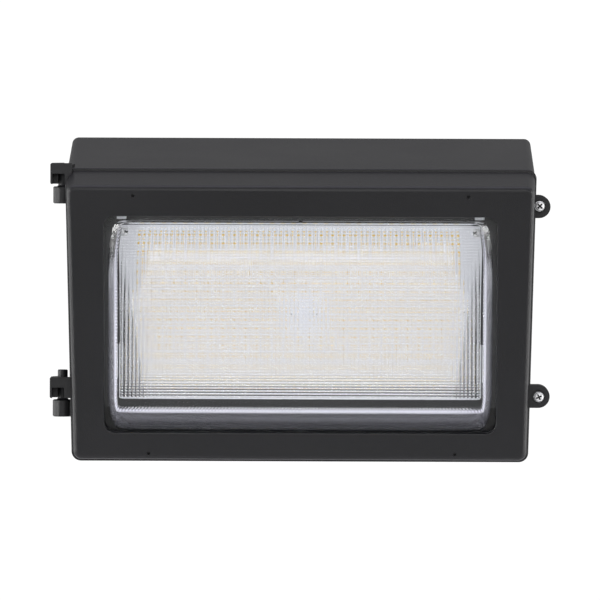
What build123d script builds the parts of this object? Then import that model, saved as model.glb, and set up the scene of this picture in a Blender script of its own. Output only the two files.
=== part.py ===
from build123d import *
import math
import os

# Wall pack light. Millimetres, X to the right, Y into the wall, Z up.
# The origin is the centre of the wire entry on the wall face (y = 0).
os.makedirs("parts", exist_ok=True)

# ---------------------------------------------------------------- main sizes
PARTING = 125.0        # distance from the wall to the rim of the rear housing
DOOR_REAR = PARTING + 0.6
RIM_TOP = 95.3         # rim of the housing, top and bottom
RIM_LOW = -117.0
BACK_TOP = 115.6       # wall end of the housing, top and bottom
BACK_LOW = -113.0
BACK_HALF_TOP = 169.5  # half width of the wall end, top and bottom
BACK_HALF_LOW = 164.4
HALF_MID = 168.4       # half width of the rim at z = -5
SIDE_LEAN = 0.0262     # growth of the half width per millimetre of height
BEAD = 1.0             # how far the rim flange stands proud of the walls
RIM_WIDTH = 6.6        # flange and wall together
BACK_WALL = 4.0

TILT = 9.41            # lean of the door's face, degrees; its foot is nearer the wall
FACE_Y = -PARTING - 29.36  # centre of the opening, on the door's face
FACE_Z = -17.2
FACE_TOP = 101.8       # upper and lower edge of the face, along its slope
FACE_LOW = -99.0
FACE_SKIN = 3.2        # thickness of the door's front
OPENING_W = 283.0
OPENING_H = 159.1
OPENING_R = 7.2
LIP = 3.0              # width of the lip behind the opening
DOOR_WALL = 8.0        # from the flange outline to the inside of the door

DOOR_INSET = 1.2       # rim flange outside the door, at the sides and below
DOOR_INSET_TOP = 2.3

HINGE_X = -172.3       # upright hinge axis
HINGE_Y = -PARTING + 7.5
PIN_R = 3.65
BARREL_R = 7.25
HOOK_HEIGHT = 15.2
HOOK_LOW = (83.6, -71.4)         # underside of the upper and the lower hook
BARREL_LOW = (69.4, -85.2)       # underside of the upper and the lower barrel
BARREL_HEIGHT = 12.3
PIN_TOP = (96.4, -51.2)          # the lower pin is the longer one

EAR_X = 172.4          # screw ears on the right
EAR_Z = (68.6, -68.8)
EAR_R = 8.3
EAR_DEPTH = 8.6
LUG_DEPTH = 10.0
SCREW_X = 172.9        # the two door screws
SCREW_Z = (69.0, -69.2)
SCREW_TRAVEL = 14.0    # way out of the housing's lug

BOARD_W = 262.0        # LED board
BOARD_H = 130.0
BOARD_V = 7.3          # its centre above the centre of the opening, along the slope
BOARD_FACE = -16.0     # its front, measured out of the door's face
BOARD_THICK = 1.6
LED_COLUMNS = 30
LED_ROWS = 17
LED_PITCH_X = 7.83
LED_PITCH_V = 6.95
LED_CENTRE = (-1.0, 8.0)           # centre of the field of chips
MIDDLE_SCREW = (2.9, 4.5)          # screw in the gap of that field
CARRIER_THICK = 3.0
CARRIER_FACE = BOARD_FACE - BOARD_THICK
CARRIER_BACK = CARRIER_FACE - CARRIER_THICK

lean = math.radians(TILT)
face = Plane(
    origin=(0, FACE_Y, FACE_Z),
    x_dir=(1, 0, 0),
    z_dir=(0, -math.cos(lean), -math.sin(lean)),
)


def half_width(z):
    """Half width of the rim flange at a height."""
    return HALF_MID + SIDE_LEAN * (z + 5)


def rim_corners(inset, top_inset=None):
    """Corners of the rim outline, drawn in by a distance, and by another at the top."""
    top = RIM_TOP - (inset if top_inset is None else top_inset)
    low = RIM_LOW + inset
    top_half = half_width(top) - inset
    low_half = half_width(low) - inset
    return [(-low_half, low), (low_half, low), (top_half, top), (-top_half, top)]


def back_corners(inset):
    """Corners of the wall end of the housing, drawn in by a distance."""
    top_half = BACK_HALF_TOP - inset
    low_half = BACK_HALF_LOW - inset
    return [
        (-low_half, BACK_LOW + inset),
        (low_half, BACK_LOW + inset),
        (top_half, BACK_TOP - inset),
        (-top_half, BACK_TOP - inset),
    ]


def face_corners(inset):
    """Corners of the door's face on its own slope, drawn in by a distance."""
    top = FACE_TOP - inset
    low = FACE_LOW + inset
    top_half = half_width(FACE_Z + top * math.cos(lean)) - DOOR_INSET - 1 - inset
    low_half = half_width(FACE_Z + low * math.cos(lean)) - DOOR_INSET - 1 - inset
    return [(-low_half, low), (low_half, low), (top_half, top), (-top_half, top)]


def rounded(corners, radius):
    """A four cornered profile with rounded corners, for the sketch it is called in."""
    Polygon(*corners, align=None)
    fillet(vertices(), radius)


def on_face(x, v, w):
    """Point in space of a place on the door's face: x, up the slope, out of it."""
    return face.from_local_coords(Vector(x, v, w))


# ---------------------------------------------------------------- rear housing
CONDUIT_Y = -54.0
CONDUIT_Z = -20.0
CONDUIT_R = 10.4
PLUG_HEAD_R = 13.0
WALL_HOLES = [(-130, 80), (130, 80), (-130, -80), (130, -80)]
BOX_HOLES = [(-44.45, 0), (44.45, 0)]
ENTRY_R = 11.1
GROUND_X = 70.0
GROUND_Z = 30.0

with BuildPart() as rear_housing:
    with BuildSketch(Plane.XZ):
        rounded(back_corners(0), 5)
    with BuildSketch(Plane.XZ.offset(PARTING)):
        rounded(rim_corners(BEAD), 6)
    loft()
    with BuildSketch(Plane.XZ.offset(PARTING - 4)):
        rounded(rim_corners(0), 7)
    extrude(amount=4)
    fillet(rear_housing.faces().sort_by(Axis.Y)[0].edges(), 0.8)
    # hinge barrels on the left, screw lugs on the right
    for low in BARREL_LOW:
        with BuildSketch(Plane.XY.offset(low + 0.7)):
            with Locations((HINGE_X, HINGE_Y)):
                Circle(BARREL_R)
            with Locations((HINGE_X + 5, HINGE_Y)):
                Rectangle(6, 10)
        extrude(amount=BARREL_HEIGHT - 1.4)
        with Locations((HINGE_X, HINGE_Y, low)):
            Cone(BARREL_R - 0.7, BARREL_R, 0.7, align=(Align.CENTER, Align.CENTER, Align.MIN))
        with Locations((HINGE_X, HINGE_Y, low + BARREL_HEIGHT)):
            Cone(BARREL_R, BARREL_R - 0.7, 0.7, align=(Align.CENTER, Align.CENTER, Align.MAX))
    with BuildSketch(Plane.XZ.offset(PARTING - LUG_DEPTH)):
        for z in EAR_Z:
            with Locations((EAR_X, z)):
                Circle(EAR_R)
            with Locations((EAR_X - 4, z)):
                Rectangle(8, 2 * EAR_R)
    extrude(amount=LUG_DEPTH)
    # inside of the box
    with BuildSketch(Plane.XZ.offset(BACK_WALL)):
        rounded(back_corners(3.6), 3)
    with BuildSketch(Plane.XZ.offset(PARTING)):
        rounded(rim_corners(RIM_WIDTH), 3)
    loft(mode=Mode.SUBTRACT)
    # wall behind the hinge recesses
    for low in HOOK_LOW:
        with BuildSketch(Plane.XY.offset(low - 4.5)):
            with Locations((HINGE_X + 9.2, HINGE_Y + 4)):
                Rectangle(6.4, 22)
        extrude(amount=HOOK_HEIGHT + (-6.5 if low > 0 else 8))
    # recesses that the hooks of the door swing into
    for low in HOOK_LOW:
        with BuildSketch(Plane.XY.offset(low - 1.0)):
            with Locations((HINGE_X - 3, HINGE_Y + 4.6)):
                Rectangle(22.4, 15.8)
        extrude(amount=HOOK_HEIGHT + 2.5, mode=Mode.SUBTRACT)
    # pins with a flared root
    for low, top in zip(BARREL_LOW, PIN_TOP):
        seat = low + BARREL_HEIGHT
        with BuildSketch(Plane.XY.offset(seat - 1)):
            with Locations((HINGE_X, HINGE_Y)):
                Circle(PIN_R)
        extrude(amount=top - seat + 0.5)
        with Locations((HINGE_X, HINGE_Y, top)):
            Cone(PIN_R, PIN_R - 0.5, 0.5, align=(Align.CENTER, Align.CENTER, Align.MAX))
        with Locations((HINGE_X, HINGE_Y, seat)):
            Cone(PIN_R + 0.9, PIN_R, 0.9, align=(Align.CENTER, Align.CENTER, Align.MIN))
    # pads inside the back wall and hubs of the conduit entries
    with BuildSketch(Plane.XZ.offset(1)):
        with Locations(*WALL_HOLES):
            Circle(9)
        with Locations(*BOX_HOLES):
            Circle(7)
        Circle(16)
    extrude(amount=6)
    with BuildSketch(Plane.XZ.offset(1)):
        with Locations((GROUND_X, GROUND_Z)):
            Circle(5.5)
    extrude(amount=15)
    for side in (-1, 1):
        with BuildSketch(Plane.YZ.offset(side * 164.5)):
            with Locations((CONDUIT_Y, CONDUIT_Z)):
                Circle(15.5)
        extrude(amount=-side * 13.5)
    with BuildSketch(Plane.XY.offset(-113)):
        with Locations((0, CONDUIT_Y)):
            Circle(15.5)
    extrude(amount=13)
    for side in (-1, 1):
        with BuildSketch(Plane.YZ.offset(side * 150)):
            with Locations((CONDUIT_Y, CONDUIT_Z)):
                Circle(CONDUIT_R)
        extrude(amount=side * 20, mode=Mode.SUBTRACT)
        with BuildSketch(Plane.YZ.offset(side * 162.6)):
            with Locations((CONDUIT_Y, CONDUIT_Z)):
                Circle(PLUG_HEAD_R + 0.4)
        extrude(amount=side * 6, mode=Mode.SUBTRACT)
    with BuildSketch(Plane.XY.offset(-99)):
        with Locations((0, CONDUIT_Y)):
            Circle(CONDUIT_R)
    extrude(amount=-20, mode=Mode.SUBTRACT)
    with BuildSketch(Plane.XY.offset(-111)):
        with Locations((0, CONDUIT_Y)):
            Circle(PLUG_HEAD_R + 0.4)
    extrude(amount=-8, mode=Mode.SUBTRACT)
    # holes: wire entry, wall screws, box screws, ground screw, door screws
    with BuildSketch(Plane.XZ.offset(-1)):
        Circle(ENTRY_R)
        with Locations(*WALL_HOLES):
            Circle(3.25)
        with Locations(*BOX_HOLES):
            Circle(2.6)
    extrude(amount=12, mode=Mode.SUBTRACT)
    with BuildSketch(Plane.XZ.offset(16)):
        with Locations((GROUND_X, GROUND_Z)):
            Circle(1.95)
    extrude(amount=-10, mode=Mode.SUBTRACT)
    with BuildSketch(Plane.XZ.offset(PARTING - LUG_DEPTH - 1)):
        for z in SCREW_Z:
            with Locations((SCREW_X, z)):
                Circle(2.5)
    extrude(amount=LUG_DEPTH + 2, mode=Mode.SUBTRACT)
    # groove for the wall gasket
    with BuildSketch(Plane.XZ):
        rounded(back_corners(4), 6)
        with BuildSketch(Plane.XZ, mode=Mode.PRIVATE) as inside:
            rounded(back_corners(10), 3)
        add(inside.sketch, mode=Mode.SUBTRACT)
    extrude(amount=2, mode=Mode.SUBTRACT)
rear_housing.part.label = "rear_housing"
export_step(rear_housing.part, "parts/rear_housing.step")

with BuildPart() as wall_gasket:
    with BuildSketch(Plane.XZ):
        rounded(back_corners(4.1), 5.9)
        with BuildSketch(Plane.XZ, mode=Mode.PRIVATE) as gasket_inside:
            rounded(back_corners(9.9), 3.1)
        add(gasket_inside.sketch, mode=Mode.SUBTRACT)
    extrude(amount=2)
wall_gasket.part.label = "wall_gasket"
export_step(wall_gasket.part, "parts/wall_gasket.step")

# plugs with a hexagon recess close the two side entries and the lower entry
with BuildPart() as conduit_plugs:
    for side in (-1, 1):
        with BuildSketch(Plane.YZ.offset(side * 163.4)):
            with Locations((CONDUIT_Y, CONDUIT_Z)):
                Circle(PLUG_HEAD_R)
        extrude(amount=side * 2.0)
        with BuildSketch(Plane.YZ.offset(side * 163.4)):
            with Locations((CONDUIT_Y, CONDUIT_Z)):
                Circle(CONDUIT_R - 0.1)
        extrude(amount=-side * 11)
        with BuildSketch(Plane.YZ.offset(side * 165.4)):
            with Locations((CONDUIT_Y, CONDUIT_Z)):
                RegularPolygon(5, 6)
        extrude(amount=-side * 6, mode=Mode.SUBTRACT)
    with BuildSketch(Plane.XY.offset(-111.8)):
        with Locations((0, CONDUIT_Y)):
            Circle(PLUG_HEAD_R)
    extrude(amount=-2)
    with BuildSketch(Plane.XY.offset(-111.8)):
        with Locations((0, CONDUIT_Y)):
            Circle(CONDUIT_R - 0.1)
    extrude(amount=11)
    with BuildSketch(Plane.XY.offset(-113.8)):
        with Locations((0, CONDUIT_Y)):
            RegularPolygon(5, 6)
    extrude(amount=6, mode=Mode.SUBTRACT)
conduit_plugs.part.label = "conduit_plugs"
export_step(conduit_plugs.part, "parts/conduit_plugs.step")

with BuildPart() as plug_seals:
    for side in (-1, 1):
        with BuildSketch(Plane.YZ.offset(side * 162.6)):
            with Locations((CONDUIT_Y, CONDUIT_Z)):
                Circle(PLUG_HEAD_R - 0.3)
                Circle(CONDUIT_R, mode=Mode.SUBTRACT)
        extrude(amount=side * 0.8)
    with BuildSketch(Plane.XY.offset(-111)):
        with Locations((0, CONDUIT_Y)):
            Circle(PLUG_HEAD_R - 0.3)
            Circle(CONDUIT_R, mode=Mode.SUBTRACT)
    extrude(amount=-0.8)
plug_seals.part.label = "plug_seals"
export_step(plug_seals.part, "parts/plug_seals.step")

with BuildPart() as ground_washer:
    with BuildSketch(Plane.XZ.offset(16)):
        with Locations((GROUND_X, GROUND_Z)):
            Circle(5)
            Circle(2.1, mode=Mode.SUBTRACT)
    extrude(amount=1)
ground_washer.part.label = "ground_washer"
export_step(ground_washer.part, "parts/ground_washer.step")

with BuildPart() as ground_screw:
    with BuildSketch(Plane.XZ.offset(17)):
        with Locations((GROUND_X, GROUND_Z)):
            Circle(4)
    extrude(amount=2.6)
    fillet(ground_screw.faces().sort_by(Axis.Y)[0].edges(), 1)
    with BuildSketch(Plane.XZ.offset(17)):
        with Locations((GROUND_X, GROUND_Z)):
            Circle(1.9)
    extrude(amount=-10)
    with BuildSketch(Plane.XZ.offset(18.4)):
        with Locations((GROUND_X, GROUND_Z)):
            Rectangle(7, 1)
            Rectangle(1, 7)
    extrude(amount=2, mode=Mode.SUBTRACT)
ground_screw.part.label = "ground_screw"
export_step(ground_screw.part, "parts/ground_screw.step")

# ---------------------------------------------------------------- door frame
GROOVE = (3.8, 6.2)    # gasket groove, measured in from the rim outline
GROOVE_DEPTH = 4.0
CLIP_PLACES = [(-129, 88.5), (0, 88.5), (129, 88.5), (-129, -88.5), (0, -88.5),
               (129, -88.5), (-150, 4), (150, 4)]
CARRIER_PLACES = [(-151, 71), (151, 71), (-151, -55), (151, -55)]
TINY_HOLES = [(-120.7, 94.7), (120.7, 94.7), (-109.4, -94.9), (112.0, -94.9)]
FLANGE_BACK = -11.0    # rear of the refractor's flange, measured out of the face

with BuildPart() as door_frame:
    with BuildSketch(Plane.XZ.offset(DOOR_REAR)):
        rounded(rim_corners(DOOR_INSET, DOOR_INSET_TOP), 6.2)
    with BuildSketch(face):
        rounded(face_corners(0), 6)
    loft()
    front_edges = door_frame.faces().sort_by(Axis(face.origin, face.z_dir))[-1].edges()
    fillet(front_edges, 3.6)
    # hinge hooks: a front plate joined to the door and a half round socket behind it
    for low, root in zip(HOOK_LOW, (6.6, 9.4)):
        with BuildSketch(Plane.XY.offset(low)):
            with Locations((HINGE_X + (root - 9) / 2, HINGE_Y - 11)):
                Rectangle(9 + root, 5.8)
            with Locations((HINGE_X - 4.3, HINGE_Y - 6.95)):
                Rectangle(9.4, 13.9)
            with Locations((HINGE_X, HINGE_Y)):
                Circle(7.6)
            with Locations((HINGE_X + 5.4, HINGE_Y + 1.1)):
                Rectangle(10, 18.4, mode=Mode.SUBTRACT)
        extrude(amount=HOOK_HEIGHT)
    outer_edges = door_frame.edges().filter_by(Axis.Y)
    fillet(outer_edges.filter_by_position(Axis.X, HINGE_X - 9.1, HINGE_X - 8.9), 1.2)
    # screw ears
    with BuildSketch(Plane.XZ.offset(DOOR_REAR)):
        for z in EAR_Z:
            with Locations((EAR_X, z)):
                Circle(EAR_R)
            with Locations((EAR_X - 4.1, z)):
                Rectangle(8.2, 2 * EAR_R)
    extrude(amount=EAR_DEPTH)
    # inside of the door
    with BuildSketch(Plane.XZ.offset(DOOR_REAR - 0.1)):
        rounded(rim_corners(DOOR_WALL), 3)
    with BuildSketch(face.offset(-FACE_SKIN)):
        rounded(face_corners(6.4), 3)
    loft(mode=Mode.SUBTRACT)
    # lip behind the opening and bosses for the clips and the carrier
    with BuildSketch(face.offset(-FACE_SKIN)):
        RectangleRounded(OPENING_W + 2 * LIP, OPENING_H + 2 * LIP, OPENING_R + LIP)
    extrude(amount=-3.3)
    with BuildSketch(face.offset(-FACE_SKIN)):
        with Locations(*CLIP_PLACES):
            Circle(3.4)
    extrude(amount=FLANGE_BACK + FACE_SKIN)
    with BuildSketch(face.offset(-FACE_SKIN)):
        with Locations(*CARRIER_PLACES):
            Circle(4)
    extrude(amount=CARRIER_FACE + FACE_SKIN)
    with BuildSketch(face.offset(2)):
        RectangleRounded(OPENING_W, OPENING_H, OPENING_R)
    extrude(amount=-10, mode=Mode.SUBTRACT)
    front = door_frame.faces().sort_by(Axis(face.origin, face.z_dir))[-1]
    fillet(front.inner_wires()[0].edges(), 1.0)
    # gasket groove
    with BuildSketch(Plane.XZ.offset(DOOR_REAR)):
        rounded(rim_corners(GROOVE[0]), 3.6)
        with BuildSketch(Plane.XZ, mode=Mode.PRIVATE) as groove_inside:
            rounded(rim_corners(GROOVE[1]), 1.8)
        add(groove_inside.sketch, mode=Mode.SUBTRACT)
    extrude(amount=GROOVE_DEPTH, mode=Mode.SUBTRACT)
    # front pocket and bore of the hooks
    for low in HOOK_LOW:
        with BuildSketch(Plane.XY.offset(low - 1)):
            with Locations((HINGE_X - 3.1, HINGE_Y - 8)):
                Rectangle(8.8, 15)
        extrude(amount=8.6, mode=Mode.SUBTRACT)
        with BuildSketch(Plane.XY.offset(low - 1)):
            with Locations((HINGE_X, HINGE_Y)):
                Circle(PIN_R + 0.1)
        extrude(amount=HOOK_HEIGHT + 2, mode=Mode.SUBTRACT)
    # screw holes in the ears, and counterbores that run on in the wall for the driver bit
    with BuildSketch(Plane.XZ.offset(DOOR_REAR)):
        for z in SCREW_Z:
            with Locations((SCREW_X, z)):
                Circle(2.4)
    extrude(amount=EAR_DEPTH, mode=Mode.SUBTRACT)
    with BuildSketch(Plane.XZ.offset(DOOR_REAR + EAR_DEPTH - 2.2)):
        for z in EAR_Z:
            with Locations((EAR_X, z)):
                Circle(5)
    extrude(amount=SCREW_TRAVEL + 4.4, mode=Mode.SUBTRACT)
    # pilot holes in the bosses and the four tiny holes of the face
    with BuildSketch(face.offset(FLANGE_BACK)):
        with Locations(*CLIP_PLACES):
            Circle(1.3)
    extrude(amount=6.5, mode=Mode.SUBTRACT)
    with BuildSketch(face.offset(CARRIER_FACE)):
        with Locations(*CARRIER_PLACES):
            Circle(1.6)
    extrude(amount=8, mode=Mode.SUBTRACT)
    with BuildSketch(face.offset(1)):
        with Locations(*TINY_HOLES):
            Circle(1.2)
    extrude(amount=-3.2, mode=Mode.SUBTRACT)
door_frame.part.label = "door_frame"
export_step(door_frame.part, "parts/door_frame.step")

# cord gasket in the groove, just clear of the housing's rim
with BuildPart() as door_gasket:
    with BuildSketch(Plane.XZ.offset(PARTING + 0.3)):
        rounded(rim_corners(GROOVE[0] + 0.05), 3.55)
        with BuildSketch(Plane.XZ, mode=Mode.PRIVATE) as cord_inside:
            rounded(rim_corners(GROOVE[1] - 0.05), 1.85)
        add(cord_inside.sketch, mode=Mode.SUBTRACT)
    extrude(amount=GROOVE_DEPTH + 0.3)
door_gasket.part.label = "door_gasket"
export_step(door_gasket.part, "parts/door_gasket.step")

# ---------------------------------------------------------------- refractor
BOWL_HALF = 138.8      # half width of the bowl at the face of the door
BOWL_TOP = 75.2        # its edges there, along the slope
BOWL_LOW = -77.5
BOWL_FRONT = 168.5     # its front is plumb, this far from the wall
BOWL_FRONT_HALF = 133.1
BOWL_FRONT_TOP = 56.4  # heights of the front's edges
BOWL_FRONT_LOW = -78.6
BOWL_WALL = 3.2


def bowl_corners(half, low, top):
    """Corners of one level of the bowl."""
    return [(-half, low), (half, low), (half, top), (-half, top)]


with BuildPart() as refractor:
    with BuildSketch(face.offset(FLANGE_BACK)):
        RectangleRounded(2 * 146, 2 * 84, 9)
    extrude(amount=3)
    with BuildSketch(face.offset(-8)):
        rounded(bowl_corners(BOWL_HALF, BOWL_LOW, BOWL_TOP), 11)
    extrude(amount=8)
    with BuildSketch(face):
        rounded(bowl_corners(BOWL_HALF, BOWL_LOW, BOWL_TOP), 11)
    with BuildSketch(Plane.XZ.offset(BOWL_FRONT)):
        rounded(bowl_corners(BOWL_FRONT_HALF, BOWL_FRONT_LOW, BOWL_FRONT_TOP), 9)
    loft()
    bowl_edges = refractor.faces().sort_by(Axis.Y)[0].edges()
    fillet(bowl_edges, 1.4)
    with BuildSketch(face.offset(FLANGE_BACK)):
        rounded(bowl_corners(BOWL_HALF - 3.2, BOWL_LOW + 3.2, BOWL_TOP - 3.2), 8)
    extrude(amount=-FLANGE_BACK - 3, mode=Mode.SUBTRACT)
    with BuildSketch(face.offset(-3)):
        rounded(bowl_corners(BOWL_HALF - 3.2, BOWL_LOW + 3.2, BOWL_TOP - 3.2), 8)
    with BuildSketch(Plane.XZ.offset(BOWL_FRONT - BOWL_WALL)):
        rounded(bowl_corners(BOWL_FRONT_HALF - 2.6, BOWL_FRONT_LOW + 1.8, BOWL_FRONT_TOP - 3), 6.5)
    loft(mode=Mode.SUBTRACT)
refractor.part.label = "refractor"
export_step(refractor.part, "parts/refractor.step")

with BuildPart() as refractor_gasket:
    with BuildSketch(face.offset(-8)):
        RectangleRounded(OPENING_W + 5.6, OPENING_H + 5.6, OPENING_R + 2.8)
        RectangleRounded(OPENING_W + 1, OPENING_H + 1, OPENING_R + 0.5, mode=Mode.SUBTRACT)
    extrude(amount=1.5)
refractor_gasket.part.label = "refractor_gasket"
export_step(refractor_gasket.part, "parts/refractor_gasket.step")


def clip_turn(x, v):
    """Turn of a clip so that its tongue points at the refractor."""
    if abs(x) == 150:
        return 90 if x < 0 else -90
    return 0 if v > 0 else 180


with BuildPart() as glass_clips:
    for x, v in CLIP_PLACES:
        with BuildSketch(face.offset(FLANGE_BACK - 1)):
            with Locations(Location((x, v, 0), (0, 0, clip_turn(x, v)))):
                with Locations((0, -4)):
                    Rectangle(7.2, 13)
                Circle(1.7, mode=Mode.SUBTRACT)
        extrude(amount=1)
glass_clips.part.label = "glass_clips"
export_step(glass_clips.part, "parts/glass_clips.step")


def face_screws(places, seat, head_r, head_h, shank_r, length):
    """Pan head screws driven from the back into the door."""
    with BuildPart() as screws:
        with BuildSketch(face.offset(seat)):
            with Locations(*places):
                Circle(head_r)
        extrude(amount=-head_h)
        crowns = screws.faces().group_by(Axis(face.origin, face.z_dir))[0]
        fillet(crowns.edges(), head_h * 0.4)
        with BuildSketch(face.offset(seat)):
            with Locations(*places):
                Circle(shank_r)
        extrude(amount=length)
        with BuildSketch(face.offset(seat - head_h - 0.5)):
            with Locations(*places):
                Rectangle(head_r * 1.3, head_r * 0.28)
                Rectangle(head_r * 0.28, head_r * 1.3)
        extrude(amount=head_h * 0.5 + 0.5, mode=Mode.SUBTRACT)
    return screws.part


clip_screws = face_screws(CLIP_PLACES, FLANGE_BACK - 1, 2.9, 2.2, 1.25, 7)
clip_screws.label = "clip_screws"
export_step(clip_screws, "parts/clip_screws.step")

# ---------------------------------------------------------------- LED engine
DRIVER_W = 150.0
DRIVER_H = 62.0
DRIVER_T = 34.0
DRIVER_X = 12.0
DRIVER_V = -14.0
LEAD_HOLE = (-98.0, -14.0)
LEAD_PAIR = (-17.0, -11.0)         # heights of the positive and the negative lead
SUPPLY_ROWS = (-26.0, -14.0, -2.0)  # heights of the line, neutral and earth lead
LEAD_R = 1.3
CLIP_V = 34.0
CLIP_X = 123.0

with BuildPart() as board_carrier:
    with BuildSketch(face.offset(CARRIER_BACK)):
        with Locations((0, 8)):
            RectangleRounded(316, 144, 5)
    extrude(amount=CARRIER_THICK)
    for v in (80, -64):
        inner = v - 1.0 if v > 0 else v + 1.0
        with BuildSketch(face.offset(CARRIER_BACK)):
            with Locations((0, inner)):
                Rectangle(296, 2)
        extrude(amount=-11)
    with BuildSketch(face.offset(CARRIER_BACK)):
        with Locations(*CARRIER_PLACES):
            Circle(2.1)
        with Locations(LEAD_HOLE):
            Circle(6)
    extrude(amount=CARRIER_THICK, mode=Mode.SUBTRACT)
    with BuildSketch(face.offset(CARRIER_BACK)):
        with Locations((DRIVER_X - 81, DRIVER_V), (DRIVER_X + 81, DRIVER_V), (CLIP_X + 12, CLIP_V)):
            Circle(1.9)
    extrude(amount=CARRIER_THICK, mode=Mode.SUBTRACT)
board_carrier.part.label = "board_carrier"
export_step(board_carrier.part, "parts/board_carrier.step")

carrier_screws = face_screws(CARRIER_PLACES, CARRIER_BACK, 3.6, 2.6, 1.55, 9)
carrier_screws.label = "carrier_screws"
export_step(carrier_screws, "parts/carrier_screws.step")

BOARD_SCREWS = [(x, BOARD_V + v) for x in (-126.5, 126.5) for v in (-58, 0, 58)]
BOARD_SCREWS.append(MIDDLE_SCREW)

with BuildPart() as led_board:
    with BuildSketch(face.offset(CARRIER_FACE)):
        with Locations((0, BOARD_V)):
            RectangleRounded(BOARD_W, BOARD_H, 3)
        with Locations(*BOARD_SCREWS):
            Circle(1.8, mode=Mode.SUBTRACT)
    extrude(amount=BOARD_THICK)
led_board.part.label = "led_board"
export_step(led_board.part, "parts/led_board.step")

with BuildPart() as board_screws:
    with BuildSketch(face.offset(BOARD_FACE)):
        with Locations(*BOARD_SCREWS):
            Circle(3)
    extrude(amount=2)
    crowns = board_screws.faces().group_by(Axis(face.origin, face.z_dir))[-1]
    fillet(crowns.edges(), 0.8)
    with BuildSketch(face.offset(BOARD_FACE)):
        with Locations(*BOARD_SCREWS):
            Circle(1.7)
    extrude(amount=-1.6)
    with BuildSketch(face.offset(BOARD_FACE + 1)):
        with Locations(*BOARD_SCREWS):
            Rectangle(3.6, 0.8)
            Rectangle(0.8, 3.6)
    extrude(amount=1.5, mode=Mode.SUBTRACT)
board_screws.part.label = "board_screws"
export_step(board_screws.part, "parts/board_screws.step")

chip_places = []
for row in range(LED_ROWS):
    for column in range(LED_COLUMNS):
        chip_x = LED_CENTRE[0] + (column - (LED_COLUMNS - 1) / 2) * LED_PITCH_X
        chip_v = LED_CENTRE[1] + (row - (LED_ROWS - 1) / 2) * LED_PITCH_V
        beside = abs(chip_x - MIDDLE_SCREW[0]) > 1.2 * LED_PITCH_X
        if beside or abs(chip_v - MIDDLE_SCREW[1]) > 1.8 * LED_PITCH_V:
            chip_places.append((chip_x, chip_v))

with BuildPart() as led_chips:
    with BuildSketch(face.offset(BOARD_FACE)):
        with Locations(*chip_places):
            Rectangle(3.5, 2.8)
    extrude(amount=0.7)
led_chips.part.label = "led_chips"
export_step(led_chips.part, "parts/led_chips.step")

# driver: a long closed case with a mounting foot at each end, on the carrier's back
with BuildPart() as led_driver:
    with BuildSketch(face.offset(CARRIER_BACK)):
        with Locations((DRIVER_X, DRIVER_V)):
            RectangleRounded(DRIVER_W, DRIVER_H, 3)
    extrude(amount=-DRIVER_T)
    lid_edges = led_driver.faces().sort_by(Axis(face.origin, face.z_dir))[0].edges()
    fillet(lid_edges, 2)
    with BuildSketch(face.offset(CARRIER_BACK)):
        with Locations((DRIVER_X, DRIVER_V)):
            Rectangle(DRIVER_W + 26, 24)
    extrude(amount=-2)
    with BuildSketch(face.offset(CARRIER_BACK)):
        with Locations((DRIVER_X - 81, DRIVER_V), (DRIVER_X + 81, DRIVER_V)):
            Circle(2.2)
    extrude(amount=-2, mode=Mode.SUBTRACT)
led_driver.part.label = "led_driver"
export_step(led_driver.part, "parts/led_driver.step")

driver_places = [(DRIVER_X - 81, DRIVER_V), (DRIVER_X + 81, DRIVER_V)]
driver_screws = face_screws(driver_places, CARRIER_BACK - 2, 3.6, 2.6, 1.8, 5)
driver_screws.label = "driver_screws"
export_step(driver_screws, "parts/driver_screws.step")

with BuildPart() as lead_grommet:
    with BuildSketch(face.offset(CARRIER_BACK)):
        with Locations(LEAD_HOLE):
            Circle(5.95)
    extrude(amount=CARRIER_THICK)
    with BuildSketch(face.offset(CARRIER_BACK)):
        with Locations(LEAD_HOLE):
            Circle(8)
    extrude(amount=-1.5)
    with BuildSketch(face.offset(CARRIER_BACK - 1.5)):
        with Locations(LEAD_HOLE):
            with Locations((0, -3), (0, 3)):
                Circle(LEAD_R + 0.05)
    extrude(amount=CARRIER_THICK + 1.5, mode=Mode.SUBTRACT)
lead_grommet.part.label = "lead_grommet"
export_step(lead_grommet.part, "parts/lead_grommet.step")

# leads from the left end of the driver through the grommet to the back of the board
driver_left = DRIVER_X - DRIVER_W / 2
board_route = [(driver_left, -34), (LEAD_HOLE[0], -34), (LEAD_HOLE[0], CARRIER_FACE)]
for name, v in (("positive_lead", LEAD_PAIR[0]), ("negative_lead", LEAD_PAIR[1])):
    with BuildPart() as board_lead:
        with BuildLine() as route:
            FilletPolyline(*[on_face(x, v, w) for x, w in board_route], radius=13)
        with BuildSketch(Plane(origin=on_face(driver_left, v, -34), z_dir=(-1, 0, 0))):
            Circle(LEAD_R)
        sweep(path=route.wire())
    board_lead.part.label = name
    export_step(board_lead.part, f"parts/{name}.step")

# supply leads from the right end of the driver, up through the clip to their connectors
driver_right = DRIVER_X + DRIVER_W / 2
LEAD_W = -30.0
supply = zip(("line_lead", "neutral_lead", "earth_lead"), SUPPLY_ROWS, (6.0, 0.0, -6.0))
for name, v, shift in supply:
    with BuildPart() as supply_lead:
        turn_x = CLIP_X + shift
        corners = [(driver_right, v), (turn_x, v), (turn_x, CLIP_V + 12)]
        with BuildLine() as route:
            FilletPolyline(*[on_face(x, y, LEAD_W) for x, y in corners], radius=14)
        with BuildSketch(Plane(origin=on_face(driver_right, v, LEAD_W), z_dir=(1, 0, 0))):
            Circle(LEAD_R)
        sweep(path=route.wire())
    supply_lead.part.label = name
    export_step(supply_lead.part, f"parts/{name}.step")

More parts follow.
